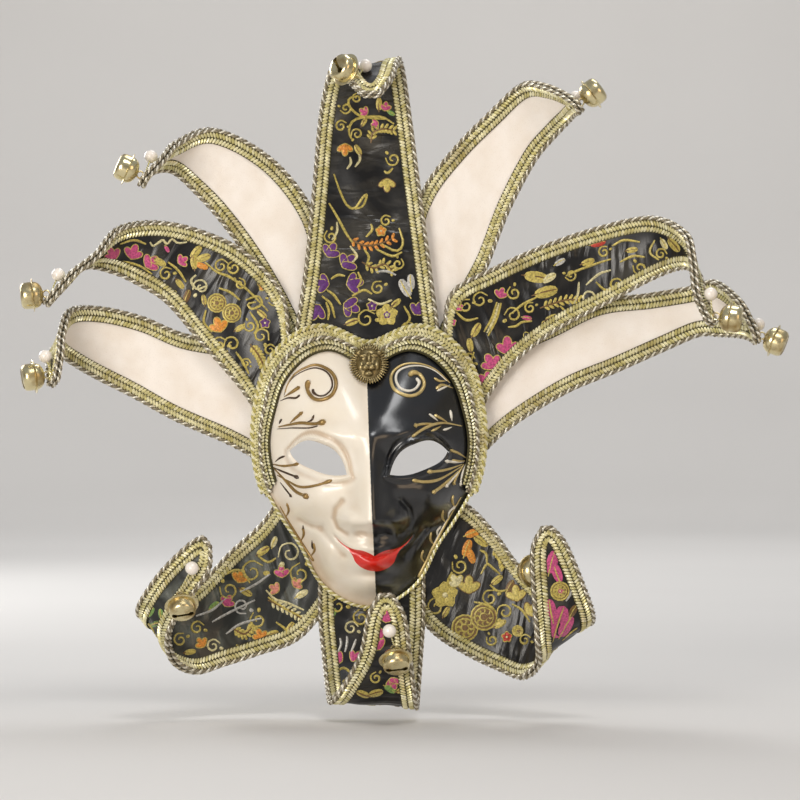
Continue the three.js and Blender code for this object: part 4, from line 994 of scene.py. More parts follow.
# %% Motifs of the collar
MOTIFS.update({
    "collar_left": {
        "gold leaf": [(246, 592, 14, -30), (290, 628, 14, 60), (190, 652, 12, 10), (272, 634, 14, 20),
            (263, 551, 15, 35)],
        "pink lily": [(226, 604, 8, 60), (282, 575, 8, 95)],
        "gold curl": [(258, 620, 7, 120, 1), (180, 640, 6, 60, 1), (252, 572, 10, 30, 1),
            (300, 574, 9, 90, 1), (229, 590, 8, 160, 1), (197, 628, 6, 20, 1)],
        "gold line": [[(276, 622), (286, 630), (284, 640)], [(258, 556), (268, 562), (276, 558)],
            [(268, 597), (284, 608), (304, 618)], [(225, 575), (234, 570), (243, 572), (250, 583)],
            [(236, 645), (250, 648), (262, 644)]],
        "gold fern": [[(232, 628), (244, 634), (252, 628)]],
        "pale leaf": [(302, 594, 14, 30), (274, 542, 12, 70)],
        "silver line": [[(196, 616), (212, 610), (226, 598)], [(240, 592), (256, 584), (270, 574)],
            [(212, 622), (230, 612), (255, 600)], [(226, 634), (240, 624), (262, 618)]],
        "pale curl": [(290, 553, 10, 200, -1), (213, 646, 6, 20, 1)],
        "salmon lily": [(277, 590, 7, 150), (295, 585, 7, 40)],
        "pale line": [[(266, 590), (275, 599), (288, 603), (304, 610)]],
        "pale fern": [[(268, 600), (280, 606), (292, 612), (303, 620)]],
        "orange lily": [(239, 580, 9, 70), (261, 638, 8, 110), (203, 645, 7, 130)],
        "silver curl": [(242, 606, 7, 300, -1)],
        "green leaf": [(151, 612, 11, 60), (161, 614, 11, 100), (155, 624, 11, 20), (214, 606, 13, 40)],
    },
    "collar_centre": {
        "gold leaf": [(340, 690, 12, 60), (372, 608, 12, 40), (394, 660, 12, 100), (376, 693, 15, 15),
            (363, 694, 14, 160), (402, 690, 12, 20)],
        "gold line": [[(336, 672), (344, 668), (352, 674)], [(362, 640), (368, 650), (366, 658)],
            [(330, 624), (334, 634), (331, 643)]],
        "gold curl": [(376, 678, 5, 90, 1), (338, 606, 7, 30, 1), (390, 606, 6, 200, -1),
            (361, 618, 7, 100, 1), (347, 679, 7, 250, 1), (399, 646, 5, 60, -1)],
        "green leaf": [(332, 614, 14, 60), (390, 689, 13, -30)],
        "pink lily": [(340, 660, 8, 150), (353, 659, 8, 40), (386, 620, 8, 80), (382, 632, 7, 200),
            (379, 647, 9, 120), (392, 680, 8, -70), (368, 664, 8, 150)],
        "silver line": [[(338, 652), (341, 644), (340, 638)], [(345, 652), (347, 643), (347, 636)],
            [(351, 652), (354, 645), (356, 639)], [(352, 670), (359, 677), (368, 680)]],
        "pale curl": [(351, 628, 6, 10, 1)],
    },
    "collar_right": {
        "gold fern": [[(492, 548), (500, 556), (504, 566)]],
        "gold leaf": [(497, 580, 14, 40), (446, 612, 12, 60), (500, 624, 14, 30), (481, 541, 17, -35)],
        "gold line": [[(452, 572), (448, 582), (452, 590)], [(474, 602), (484, 604), (494, 610)],
            [(512, 604), (522, 610), (530, 622)], [(481, 574), (487, 564), (494, 569), (500, 574)],
            [(487, 564), (486, 554), (480, 550)], [(490, 585), (498, 591), (508, 590)]],
        "gold curl": [(490, 598, 7, 60, 1), (492, 640, 5, 150, 1), (436, 607, 8, 60, 1),
            (505, 612, 7, 200, -1), (460, 566, 7, 150, 1), (525, 640, 5, 20, 1)],
        "gold lily": [(528, 612, 9, 40), (469, 590, 12, 90), (517, 598, 11, 100)],
        "silver line": [[(500, 546), (508, 554), (512, 566)], [(566, 601), (571, 592), (568, 582)]],
        "orange leaf": [(473, 533, 17, 20), (467, 548, 18, 70), (471, 556, 16, -70), (571, 633, 18, 40)],
        "gold flower": [(445, 595, 12)],
        "pale lily": [(457, 584, 9, 120)],
        "gold coin": [(465, 628, 13), (484, 617, 13), (518, 631, 5), (560, 591, 9)],
        "red flower": [(507, 637, 5)],
        "brown leaf": [(510, 586, 14, 60), (573, 611, 14, 60)],
        "pink leaf": [(552, 562, 24, 75), (557, 573, 20, 110), (559, 622, 34, 72), (551, 610, 22, 100),
            (566, 626, 24, 60)],
        "pink flower": [(560, 591, 4)],
    },
})
print("motifs drawn", {name: sum(map(len, kinds.values())) for name, kinds in MOTIFS.items()})

# %% Patches and threads
def on_turn(x, y, points, turn):
    """Points round a centre, turned by degrees."""
    c, s = math.cos(math.radians(turn)), math.sin(math.radians(turn))
    return [(x + u * c - v * s, y - u * s - v * c) for u, v in points]


def around(x, y, r, angles):
    """Points on a circle."""
    return [(x + r * math.cos(a), y + r * math.sin(a)) for a in angles]


def outline(length, wide, count=10):
    """A pointed leaf or petal lying along u."""
    u = np.linspace(0, math.pi, count // 2 + 1)
    upper = [(length * (1 - math.cos(a)) / 2, wide * math.sin(a) ** 0.8) for a in u]
    return upper + [(a, -b) for a, b in upper[-2:0:-1]]


PATCH_SUNK, PATCH_EDGE, PATCH_TOP, PATCH_WIDEST = 0.15, 0.22, 0.62, 25
THREAD_LIFT, THREAD_END, THREAD_FLAT, THREAD_JUMP = 0.2, 0.35, 0.7, 8


def patch(ground, points, behind, rise=0.55):
    """A small padded patch of satin stitch with the drawn outline."""
    spots, normals = dropped(ground, points, behind)
    if len(spots) < len(points) or np.ptp(spots, axis=0).max() > PATCH_WIDEST:
        return None
    n, middle, up = len(spots), spots.mean(0), unit(normals.mean(0))
    inner = middle + (spots - middle) * PATCH_TOP
    corners = np.concatenate([spots - normals * PATCH_SUNK, spots + normals * PATCH_EDGE, inner + up * rise,
                              [middle + up * rise]])
    faces = [list(range(n))[::-1]]
    for i in range(n):
        j = (i + 1) % n
        faces += [[i, j, n + j, n + i], [n + i, n + j, 2 * n + j, 2 * n + i], [2 * n + i, 2 * n + j, 3 * n]]
    return corners, faces


def thread(ground, points, behind, radius=0.6):
    """A flattened thread that thins towards both ends."""
    steps = max(9, int(len(points) * (2.4 if len(points) < 12 else 1.2)))
    path, up = dropped(ground, drawn(points, steps), behind)
    if len(path) < 4 or np.linalg.norm(np.diff(path, axis=0), axis=1).max() > THREAD_JUMP:
        return None
    radii = radius * np.sin(np.linspace(THREAD_END, math.pi - THREAD_END, len(path))) ** 0.5
    return tube(path + up * THREAD_LIFT, radii, up, 5, THREAD_FLAT)


print("a leaf has", len(outline(12, 3, 12)), "corners")

# %% Motifs from patches and threads
EDGING = {"gold": "brown"}  # gold shapes are edged in brown, all others in gold


def motif(ground, kind, row, behind):
    """The patches and threads of one drawn motif, each with its colour's name."""
    tint, form = kind.split()
    if form == "flower":
        x, y, r = row
        petal = [(u + 0.18 * r, v) for u, v in outline(0.9 * r, 0.42 * r)]
        petals = [on_turn(x, y, petal, 72 * i + 20) for i in range(5)]
        shapes = [(patch(ground, p, behind), tint) for p in petals]
        waves = [(1.12 * r * (0.86 + 0.14 * math.cos(5 * a)), a) for a in np.linspace(0, 2 * math.pi, 21)]
        ring = on_turn(x, y, [(far * math.cos(a), far * math.sin(a)) for far, a in waves], 20)
        heart = on_turn(x, y, around(0, 0, 0.26 * r, np.linspace(0, 5.4, 7)), 0)
        return shapes + [(thread(ground, ring, behind, 0.5), "gold"),
                         (patch(ground, heart, behind, 0.9), "pale")]
    if form == "lily":
        x, y, r, turn = row
        petal = outline(1.6 * r, 0.4 * r)
        petals = [on_turn(x, y, [(u * k - 0.35 * r, v * k) for u, v in petal], turn + off)
                  for off, k in ((58, 0.9), (-58, 0.9), (0, 1.0))]
        edges = [(thread(ground, p + p[:1], behind, 0.42), EDGING.get(tint, "gold")) for p in petals]
        return [(patch(ground, p, behind), tint) for p in petals] + edges
    if form == "leaf":
        x, y, length, turn = row
        shape = on_turn(x, y, [(u - length / 2, v) for u, v in outline(length, 0.24 * length, 12)], turn)
        rib = on_turn(x, y, [(-0.62 * length, 0), (0, 0.6), (0.45 * length, 0)], turn)
        return [(patch(ground, shape, behind), tint),
                (thread(ground, rib, behind, 0.75), EDGING.get(tint, "gold"))]
    if form == "curl":
        x, y, r, turn, hand = row
        spiral = [around(0, 0, r * (1.25 - k), [hand * 8.2 * k])[0] for k in np.linspace(0, 1, 9)]
        spiral = on_turn(x, y, spiral, turn)
        bud = on_turn(x, y, [(u + 1.1 * r, v) for u, v in outline(0.7 * r, 0.26 * r, 8)], turn - hand * 35)
        return [(thread(ground, spiral, behind, 0.85), tint), (patch(ground, bud, behind), tint)]
    if form == "line":
        return [(thread(ground, row, behind, 1.05), tint)]
    if form == "fern":
        spine = drawn(row, 9)
        barbs = []
        for i in range(1, 9):
            along = math.degrees(math.atan2(spine[i - 1][1] - spine[i][1], spine[i][0] - spine[i - 1][0]))
            sides = [on_turn(*spine[i], outline(6.5, 1.5, 8), along + off) for off in (50, -50)]
            barbs += [(patch(ground, shape, behind), tint) for shape in sides]
        return [(thread(ground, row, behind, 0.9), "brown")] + barbs
    x, y, r = row
    disc = around(x, y, r, np.linspace(0, 2 * math.pi, 15)[:-1])
    rings = [around(x, y, k * r, np.linspace(0, 2 * math.pi, 13)) for k in (1.0, 0.72, 0.3)]
    spokes = [around(x, y, 0.36 * r, [a]) + around(x, y, 0.5 * r, [a + 0.25]) + around(x, y, 0.66 * r, [a])
              for a in np.linspace(0, 2 * math.pi, 9)[:-1]]
    gold = [(thread(ground, line, behind, 0.9), "gold") for line in rings + spokes]
    return [(patch(ground, disc, behind, 0.35), "brown")] + gold


print("motif shapes ready")

# %% Brocade thread
# coloured silk and metal thread: each motif's own tint, broken into lighter and darker stitches
SILK_STITCH = 1.333  # millimetres; real silk is finer and would not show
silk, tree, shader = material("brocade threads", Roughness=0.42, Metallic=0.15, Sheen_Weight=0.25)
spot = add(tree, "ShaderNodeTexCoord", {}).outputs["Object"]
tint = add(tree, "ShaderNodeAttribute", {}, attribute_name="tint")
stitch = add(tree, "ShaderNodeTexNoise", {"Vector": spot, "Scale": per(SILK_STITCH), "Detail": 2.0})
shade = add(tree, "ShaderNodeMapRange",
            {"Value": stitch.outputs["Fac"], "From Min": 0.4, "From Max": 0.7, "To Max": 0.55})
broken = add(tree, "ShaderNodeMix", {0: shade.outputs[0], A: tint.outputs["Color"], B: "1c150c"}, **RGBA)
ridges = add(tree, "ShaderNodeBump", {"Height": stitch.outputs["Fac"], "Strength": 0.5, "Distance": 0.0004})
tree.links.new(broken.outputs[MIXED], shader.inputs["Base Color"])
tree.links.new(ridges.outputs[0], shader.inputs["Normal"])
print("brocade thread made")

# %% Repeat for the hidden cloth
REPEAT = [("gold leaf", (14, 40)), ("gold curl", (6, 20, 1)), ("pink lily", (8, 90)),
          ("pale curl", (6, 200, -1)), ("orange leaf", (12, -30)), ("gold lily", (8, 250))]
APART, MARGIN, TIP_MARGIN = 17, 15, 20  # millimetres between the repeats, to the sides and to both ends
SAME_SPOT, FACING = 2.5, 0.3  # how near a look has to land, and how squarely it has to meet the cloth


def straight_down(strip):
    """Rays straight down onto a strip, for points drawn from its tip and from its middle line."""
    left = strip.left(FINE)

    def rays(points, behind):
        down, across = np.array(points, float).T * STEP
        s = np.interp(-down, -left, FINE)
        t = np.clip(0.5 + across / strip.width(s), 0.02, 0.98)
        normal = strip.normal(s, t) * (-1 if behind else 1)
        return list(zip(strip.spot(s, t) + normal * 5, -normal))
    return rays


def in_sight(ground, spot, normal):
    """Whether a straight look from the front or from behind meets the cloth at this spot."""
    for source in (EYE_POINT, EYE_POINT * [1, -1, 1]):
        hit, _, _, _ = ground[0].ray_cast(Vector(source * MM), Vector(spot - source).normalized())
        here = hit is not None and np.linalg.norm(np.array(hit) / MM - spot) < SAME_SPOT
        if here and np.dot(normal, unit(source - spot)) > FACING:
            return True
    return False


def filling(ground, laid, strip):
    """A plain repeat of small motifs where neither the front nor the back view shows the cloth."""
    shapes, order = [], 0
    for down in np.arange(TIP_MARGIN, strip.left(np.zeros(1))[0] - TIP_MARGIN, APART):
        half = float(strip.width(np.interp([-down], -strip.left(FINE), FINE))[0]) / 2 - MARGIN
        for across in np.arange(-half, half + 0.1, APART) if half > 0 else ():
            for behind in (False, True):
                place = (down / STEP, across / STEP)
                spots, normals = dropped(laid, [place], behind)
                if len(spots) and not in_sight(ground, spots[0], normals[0]):
                    kind, rest = REPEAT[order % len(REPEAT)]
                    shapes += motif(laid, kind, (*place, *rest), behind)
                    order += 1
    return shapes


print("repeat of", len(REPEAT), "motifs")

# %% Weave the motifs
threads = {}
for name, kinds in MOTIFS.items():
    ground = surface_of(panels[name])
    shapes = []
    for behind in (False, True):
        for kind, rows in kinds.items():
            for row in rows:
                shapes += motif(ground, kind, row, behind)
    shapes += filling(ground, surface_of(panels[name], straight_down(strips[name])), strips[name])
    shapes = [(shape, tint) for shape, tint in shapes if shape]
    corners, faces, tints = joined([shape + (colour(TINT[tint]),) for shape, tint in shapes])
    threads[name] = mesh_piece(f"{name}_motifs", corners, faces)
    note(threads[name], "tint", tints)
    dress(threads[name], [silk], ())
    print(name, "motifs", len(shapes), "shapes,", len(faces), "faces")

# %% [markdown]
# ## Gold braid
# The edges are bound with flat gold gimp, folded over the edge so that it shows on both faces. Gimp is a
# plait of wrapped cords; here it is a dark woven ground with two rows of slanted gold stitches that
# lean to and fro. A cord of two silver strands, one painted darker as shade, is sewn along the edge on
# either face. A picture of a plait would stay flat at the outline, so every stitch is a small solid of its
# own.

# %% Braid materials
# metal gimp: champagne gold stitches, some bright and some dulled
GOLD_WEAR, YARN, SILVER_WEAR = 26.32, 1.111, 16.67  # millimetres between worn places and between yarns
gimp, tree, shader = material("gold gimp braid", Metallic=0.42, Roughness=0.36)
tone = add(tree, "ShaderNodeAttribute", {}, attribute_name="tone")
spot = add(tree, "ShaderNodeTexCoord", {}).outputs["Object"]
wear = add(tree, "ShaderNodeTexNoise", {"Vector": spot, "Scale": per(GOLD_WEAR), "Detail": 3.0})
bright = add(tree, "ShaderNodeMix", {0: tone.outputs["Fac"], A: "c6bc78", B: "fdf8d8"}, **RGBA)
dull = add(tree, "ShaderNodeMapRange",
           {"Value": wear.outputs["Fac"], "From Min": 0.5, "From Max": 0.75, "To Max": 0.4})
aged = add(tree, "ShaderNodeMix", {0: dull.outputs[0], A: bright.outputs[MIXED], B: "9c8448"}, **RGBA)
tree.links.new(aged.outputs[MIXED], shader.inputs["Base Color"])

# the gimp's woven ground: dark olive cotton between the stitches
weft, tree, shader = material("olive braid ground", Roughness=0.8, Metallic=0.1)
spot = add(tree, "ShaderNodeTexCoord", {}).outputs["Object"]
yarn = add(tree, "ShaderNodeTexNoise", {"Vector": spot, "Scale": per(YARN)})
olive = add(tree, "ShaderNodeMix", {0: yarn.outputs["Fac"], A: "1f1c0d", B: "5d5630"}, **RGBA)
tree.links.new(olive.outputs[MIXED], shader.inputs["Base Color"])

# silver cord: pale wrapped strands with a faint warm tarnish, every second strand painted darker as shade
silver, tree, shader = material("silver twisted cord", Metallic=0.6, Roughness=0.33)
spot = add(tree, "ShaderNodeTexCoord", {}).outputs["Object"]
wear = add(tree, "ShaderNodeTexNoise", {"Vector": spot, "Scale": per(SILVER_WEAR), "Detail": 4.0})
white = add(tree, "ShaderNodeMix", {0: wear.outputs["Fac"], A: "f6f3ea", B: "c3b99c"}, **RGBA)
# every second strand has tone 0 and is painted 8a806a: painted shade in the groove between the strands
shaded_strand = add(tree, "ShaderNodeAttribute", {}, attribute_name="tone")
white = add(tree, "ShaderNodeMix", {0: shaded_strand.outputs["Fac"], A: "8a806a", B: white.outputs[MIXED]}, **RGBA)
tree.links.new(white.outputs[MIXED], shader.inputs["Base Color"])
print("braid finishes made")

# %% Lines along an edge
BAND, SLOT, TOP, LIP = 10.0, 1.3, 1.8, 0.9
STITCH = dict(pitch=2.5, length=5.0, wide=2.0, tall=1.05)
SLANT = 0.5
EDGE_ROWS = ((2.9, SLANT), (7.5, -SLANT))  # distance of a row of stitches from the edge, and its slant
CORD_OUT, CORD_LIFT, CORD_RADIUS, CORD_PITCH = -0.7, 1.7, 1.75, 7.0
ROUND_CORD, ROUND_STITCH = 80, 50  # degrees up to which edges are shaded smooth


def spread(path, normals, step):
    """The same line with even steps, smoothed at its corners, and its normals."""
    gone = np.concatenate([[0], np.cumsum(np.linalg.norm(np.diff(path, axis=0), axis=1))])
    place = np.linspace(0, gone[-1], max(int(gone[-1] / step), 4))
    even = np.stack([np.interp(place, gone, path[:, k]) for k in range(3)], 1)
    lift = np.stack([np.interp(place, gone, normals[:, k]) for k in range(3)], 1)
    for _ in range(2):
        even[1:-1] = (even[:-2] + 2 * even[1:-1] + even[2:]) / 4
    return even, unit(lift), place


def edge_line(strip, inset, lift, step):
    """A line just inside the edge, up one side, round the tip and down the other."""
    s = np.linspace(0, 1, 500)
    width = strip.width(s)
    fits = (strip.left(s) >= max(inset, 0)) & (width > 2 * inset + 0.6)
    last = len(s) if fits.all() else int(np.argmin(fits))
    s, share = s[:last], inset / width[:last]
    over = np.linspace(share[-1], 1 - share[-1], 12)[1:-1]
    s_all = np.concatenate([s, np.full(10, s[-1]), s[::-1]])
    t_all = np.concatenate([share, over, 1 - share[::-1]])
    normal = strip.normal(s_all, t_all) * np.sign(lift)
    return spread(strip.spot(s_all, t_all) + normal * abs(lift), normal, step)


print("braid of", len(EDGE_ROWS), "rows, a stitch every", STITCH["pitch"], "mm")

# %% Stitches and cords
def stitches(centres, up, slant, length, wide, tall):
    """Rows of rice-shaped stitches that lie across a line."""
    along = unit(np.gradient(centres, axis=0))
    axis = unit(unit(np.cross(along, up)) * math.cos(slant) + along * math.sin(slant))
    side = np.cross(up, axis) * wide / 2
    parts = [centres - axis * length / 2]
    for end in (-0.27, 0.27):
        ring = centres + axis * length * end
        parts += [ring + side, ring + up * tall, ring - side, ring - up * tall * 0.4]
    parts.append(centres + axis * length / 2)
    faces = [[0, 1 + i, 1 + (i + 1) % 4] for i in range(4)]
    faces += [[9, 5 + (i + 1) % 4, 5 + i] for i in range(4)]
    faces += [[1 + i, 5 + i, 5 + (i + 1) % 4, 1 + (i + 1) % 4] for i in range(4)]
    count = len(centres)
    every = [[10 * k + i for i in side_of] for k in range(count) for side_of in faces]
    tones = np.repeat(rng.uniform(0.1, 1, count), 10)[:, None]
    return np.stack(parts, 1).reshape(-1, 3), every, tones


def twisted(path, up, place, radius, pitch, strands=2, sides=4):
    """A cord of strands that wind round each other."""
    across = unit(np.cross(unit(np.gradient(path, axis=0)), up))
    shapes = []
    for k in range(strands):
        turn = (2 * math.pi * (place / pitch + k / strands))[:, None]
        wound = path + 0.5 * radius * (np.cos(turn) * across + np.sin(turn) * up)
        # every second strand gets tone 0, which its material paints darker as shade between the strands
        shapes.append(tube(wound, 0.54 * radius, up, sides) + ((1.0, 0.0)[k % 2],))
    return shapes


print("a stitch is", STITCH["length"], "mm long")

# %% Folded ground of the braid
def channel(strip, second):
    """The folded ground of the braid along one edge, open towards the cloth."""
    s = np.linspace(0, 1, 150)
    room = strip.width(s) / 2 - 0.05
    rows = []
    for inset, lift in ((0, TOP), (BAND, TOP), (BAND, SLOT), (LIP, SLOT), (LIP, -SLOT), (BAND, -SLOT),
                        (BAND, -TOP), (0, -TOP)):
        share = np.minimum(inset, room) / strip.width(s)
        t = 1 - share if second else share
        rows.append(strip.spot(s, t) + strip.normal(s, t) * lift)
    corners, n = np.stack(rows, 1), len(rows)
    faces = [[k * n + i, k * n + (i + 1) % n, (k + 1) * n + (i + 1) % n, (k + 1) * n + i]
             for k in range(len(s) - 1) for i in range(n)]
    ends = [list(range(n)), [(len(s) - 1) * n + i for i in range(n)][::-1]]
    return corners.reshape(-1, 3), faces + ends, 0.5


def sewn(name, shapes, finish, nodes, smooth=ROUND_CORD):
    """Stitches or strands as one piece of trim, each with its own tone."""
    corners, faces, tones = joined(shapes)
    piece = mesh_piece(name, corners, faces)
    note(piece, "tone", tones)
    return dress(piece, [finish], nodes, smooth)


print("a folded ground", BAND, "mm wide")

# %% Bind the points
for name, strip in strips.items():
    rows = []
    for lift in (TOP, -TOP):
        for inset, slant in EDGE_ROWS:
            path, up, _ = edge_line(strip, inset, lift, STITCH["pitch"])
            rows.append(stitches(path, up, slant, STITCH["length"], STITCH["wide"], STITCH["tall"]))
    band = sewn(f"{name}_braid_stitches", rows, gimp, [f"{name}_braid"], ROUND_STITCH)
    corners, faces, _ = joined([channel(strip, False), channel(strip, True)])
    base = dress(mesh_piece(f"{name}_braid_ground", corners, faces), [weft], [f"{name}_braid"])
    shapes = []
    for lift in (CORD_LIFT, -CORD_LIFT):
        path, up, place = edge_line(strip, CORD_OUT, lift, 0.95)
        shapes += twisted(path, up, place, CORD_RADIUS, CORD_PITCH, 2, 5)
    cord = sewn(f"{name}_edge_cord", shapes, silver, [f"{name}_braid"])
    wide, length, area = sheets[name]
print("braid on", len(strips), "points")

# %% [markdown]
# ## Brow braid and jaw cord
# Two bands of the same gimp run round the brow and temples, with a silver cord between them and a gold
# one outside, and a thin twisted gold cord edges the jaw. An array along a curve would float over the
# hollows, so every row follows the face's own surface near its rim, and the rows draw together towards the
# temples.

# %% Build the brow braid and the jaw cord
def gathered(bearing):
    """Share of its width that the braid keeps where it narrows towards the temples."""
    return 1 - 0.32 * ease(np.abs(bearing), math.radians(40), math.radians(85))


BROW_END = 103  # degrees from the top to where the brow braid ends
BROW_LIFT, GROUND_LIFT, BROW_TALL, HALF_ROW = 2.6, 0.9, 0.95, 2.4
BROW_ROWS = {"brow_braid_outer": ((-1.5, SLANT), (3.0, -SLANT)),
             "brow_braid_inner": ((9.4, SLANT), (13.8, -SLANT))}
BROW_CORDS = [  # piece, inset, lift, step, radius, pitch, strands, sides of a strand, finish
    ("brow_silver_cord", 6.3, 2.6, 0.7, 1.9, 7.0, 2, 5, silver),
    ("brow_gold_cord", -5.0, 2.0, 0.8, 1.9, 6.5, 2, 4, gimp),
]


def ending(inset):
    """Share of the turn that a row keeps, so that the braid's ends are cut slanted."""
    return 1.01 - 0.004 * inset


turn = np.radians(np.linspace(-BROW_END, BROW_END, 420))
thinned = turn[::3]
for node, lines in BROW_ROWS.items():
    shapes = []
    for inset, slant in lines:
        spots, up = face_spot(turn * ending(inset), inset * gathered(turn), BROW_LIFT)
        path, up, _ = spread(spots, up, STITCH["pitch"])
        length = STITCH["length"] * gathered(np.arctan2(path[:, 0], path[:, 2] - FACE_Z))[:, None]
        shapes.append(stitches(path, up, slant, length, STITCH["wide"], BROW_TALL))
    across = np.linspace(lines[0][0] - HALF_ROW, lines[-1][0] + HALF_ROW, 7)
    grid = [[face_spot(thinned * ending(inset), inset * gathered(thinned), lift)[0] for inset in across]
            for lift in (BROW_LIFT, GROUND_LIFT)]
    corners, faces = slab(*[np.stack(layer, 1) for layer in grid])
    dress(mesh_piece(f"{node}_ground", corners, faces), [weft], [node])
    sewn(f"{node}_stitches", shapes, gimp, [node], ROUND_STITCH)
for name, inset, lift, step, radius, pitch, strands, sides, finish in BROW_CORDS:
    path, up, place = spread(*face_spot(turn, inset * gathered(turn), lift), step)
    sewn(name, twisted(path, up, place, radius, pitch, strands, sides), finish, ["brow_braid_outer"])
print("brow edged")

# %% Edge the jaw
JAW_START, JAW_INSET, JAW_LIFT, JAW_RADIUS, JAW_PITCH = 104.5, 1.0, 1.6, 1.6, 5.0
turn = np.radians(np.linspace(JAW_START, 360 - JAW_START, 320))
turn = (turn + math.pi) % (2 * math.pi) - math.pi
path, up, place = spread(*face_spot(turn, JAW_INSET, JAW_LIFT), 0.7)
sewn("jaw_twisted_cord", twisted(path, up, place, JAW_RADIUS, JAW_PITCH), gimp, ["jaw_cord"])
print("jaw edged")

# %% [markdown]
# ## Bells, beads and their thread
# A jingle bell is pressed from sheet brass in two halves that meet in a thin wide flange, with a slit
# below and a wire loop above. It is a sphere pushed out to a squat drum, given a wall, slit with cutters
# and joined with its flange and loop. It is modelled once and copied to each tip, with a glass pearl sewn
# beside it.

# %% Metal and pearl materials
# pressed brass: pale yellow metal with brown tarnish in patches
TARNISH, CAST_GRAIN, MILK = 11.11, 3.333, 8.333  # millimetres between stains, grains and milky places
brass, tree, shader = material("pressed brass", Metallic=1.0)
spot = add(tree, "ShaderNodeTexCoord", {}).outputs["Object"]
stain = add(tree, "ShaderNodeTexNoise", {"Vector": spot, "Scale": per(TARNISH), "Detail": 5.0})
spots_of = add(tree, "ShaderNodeMapRange",
               {"Value": stain.outputs["Fac"], "From Min": 0.45, "From Max": 0.75})
metal = add(tree, "ShaderNodeMix", {0: spots_of.outputs[0], A: "e6d9ac", B: "9b7d42"}, **RGBA)
dull = add(tree, "ShaderNodeMapRange", {"Value": spots_of.outputs[0], "To Min": 0.2, "To Max": 0.5})
tree.links.new(metal.outputs[MIXED], shader.inputs["Base Color"])
tree.links.new(dull.outputs[0], shader.inputs["Roughness"])

# antique brass casting: bright on the high parts, dark brown in the hollows
bronze, tree, shader = material("antique brass casting", Metallic=0.9)
deep = add(tree, "ShaderNodeAttribute", {}, attribute_name="deep")
spot = add(tree, "ShaderNodeTexCoord", {}).outputs["Object"]
stain = add(tree, "ShaderNodeTexNoise", {"Vector": spot, "Scale": per(CAST_GRAIN), "Detail": 4.0})
mottle = add(tree, "ShaderNodeMix", {0: stain.outputs["Fac"], A: "bfae80", B: "7d6a40"}, **RGBA)
metal = add(tree, "ShaderNodeMix", {0: deep.outputs["Fac"], A: mottle.outputs[MIXED], B: "2a1c0b"}, **RGBA)
dull = add(tree, "ShaderNodeMapRange", {"Value": deep.outputs["Fac"], "To Min": 0.28, "To Max": 0.65})
tree.links.new(metal.outputs[MIXED], shader.inputs["Base Color"])
tree.links.new(dull.outputs[0], shader.inputs["Roughness"])

# glass pearl: warm white with a soft lustre under a clear skin
pearl_skin, tree, shader = material("glass pearl", Roughness=0.28, Coat_Weight=0.8, Coat_Roughness=0.06,
                                    Sheen_Weight=0.2)
spot = add(tree, "ShaderNodeTexCoord", {}).outputs["Object"]
milk = add(tree, "ShaderNodeTexNoise", {"Vector": spot, "Scale": per(MILK), "Detail": 2.0})
lustre = add(tree, "ShaderNodeMix", {0: milk.outputs["Fac"], A: "fdf8f0", B: "ecdfd2"}, **RGBA)
tree.links.new(lustre.outputs[MIXED], shader.inputs["Base Color"])
print("metal and pearl made")

# %% Model one bell
BELL, BELL_WALL, LOOP, LOOP_WIRE, PEARL = 9.4, 0.9, 2.6, 0.6, 5.0
DRUM, LOOP_SIDE, SLIT_SIDE = 10.0, (2.4, 8.2), (5.0, 8.6)  # radius; how square and how deep each half is
SLIT_LONG, SLIT_WIDE, SLIT_DEEP, SLIT_Z = 13, 2.2, 9, -8
SLIT_HOLE, HOLE_OUT, HOLE_DEEP = 2.1, 6, 12  # the round holes at both ends of the slit
FLANGE, FLANGE_EDGE, FLANGE_THIN, FLANGE_Z = 10.6, 1.9, 0.3, 0.6
bpy.ops.mesh.primitive_uv_sphere_add(segments=32, ring_count=18, radius=1, location=(0, 0, 0))
bell = bpy.context.object
for v in bell.data.vertices:
    flat, tall = math.hypot(v.co.x, v.co.y), abs(v.co.z)
    power, deep = LOOP_SIDE if v.co.z > 0 else SLIT_SIDE
    swell = MM / (flat ** power + tall ** power) ** (1 / power)
    v.co = Vector((v.co.x * swell * DRUM, v.co.y * swell * DRUM, v.co.z * swell * deep))
apply(bell, "SOLIDIFY", thickness=BELL_WALL * MM, offset=-1.0)
bpy.ops.mesh.primitive_cube_add(size=1, location=(0, 0, SLIT_Z * MM),
                                scale=(SLIT_LONG * MM, SLIT_WIDE * MM, SLIT_DEEP * MM))
cutters = [bpy.context.object]
for end in (-1, 1):
    bpy.ops.mesh.primitive_cylinder_add(vertices=20, radius=SLIT_HOLE * MM, depth=HOLE_DEEP * MM,
                                        location=(end * HOLE_OUT * MM, 0, SLIT_Z * MM))
    cutters.append(bpy.context.object)
for cutter in cutters:
    apply(bell, "BOOLEAN", operation="DIFFERENCE", solver="EXACT", object=cutter)
    bpy.data.objects.remove(cutter)
bpy.ops.mesh.primitive_torus_add(major_segments=40, minor_segments=8, major_radius=FLANGE * MM,
                                 minor_radius=FLANGE_EDGE * MM, location=(0, 0, FLANGE_Z * MM))
flange = bpy.context.object
flange.scale = (1, 1, FLANGE_THIN)
bpy.ops.object.transform_apply(location=False, rotation=False, scale=True)
bpy.ops.mesh.primitive_torus_add(major_segments=24, minor_segments=8, major_radius=LOOP * MM,
                                 minor_radius=LOOP_WIRE * MM,
                                 location=(0, 0, (BELL + 1) * MM), rotation=(math.pi / 2, 0, 0))
bpy.ops.object.transform_apply(location=True, rotation=True, scale=True)
loop = bpy.context.object
select_only(bell)
flange.select_set(True)
loop.select_set(True)
bpy.ops.object.join()
bpy.ops.mesh.primitive_uv_sphere_add(segments=28, ring_count=16, radius=PEARL * MM, location=(0, 0, 0))
bead = bpy.context.object
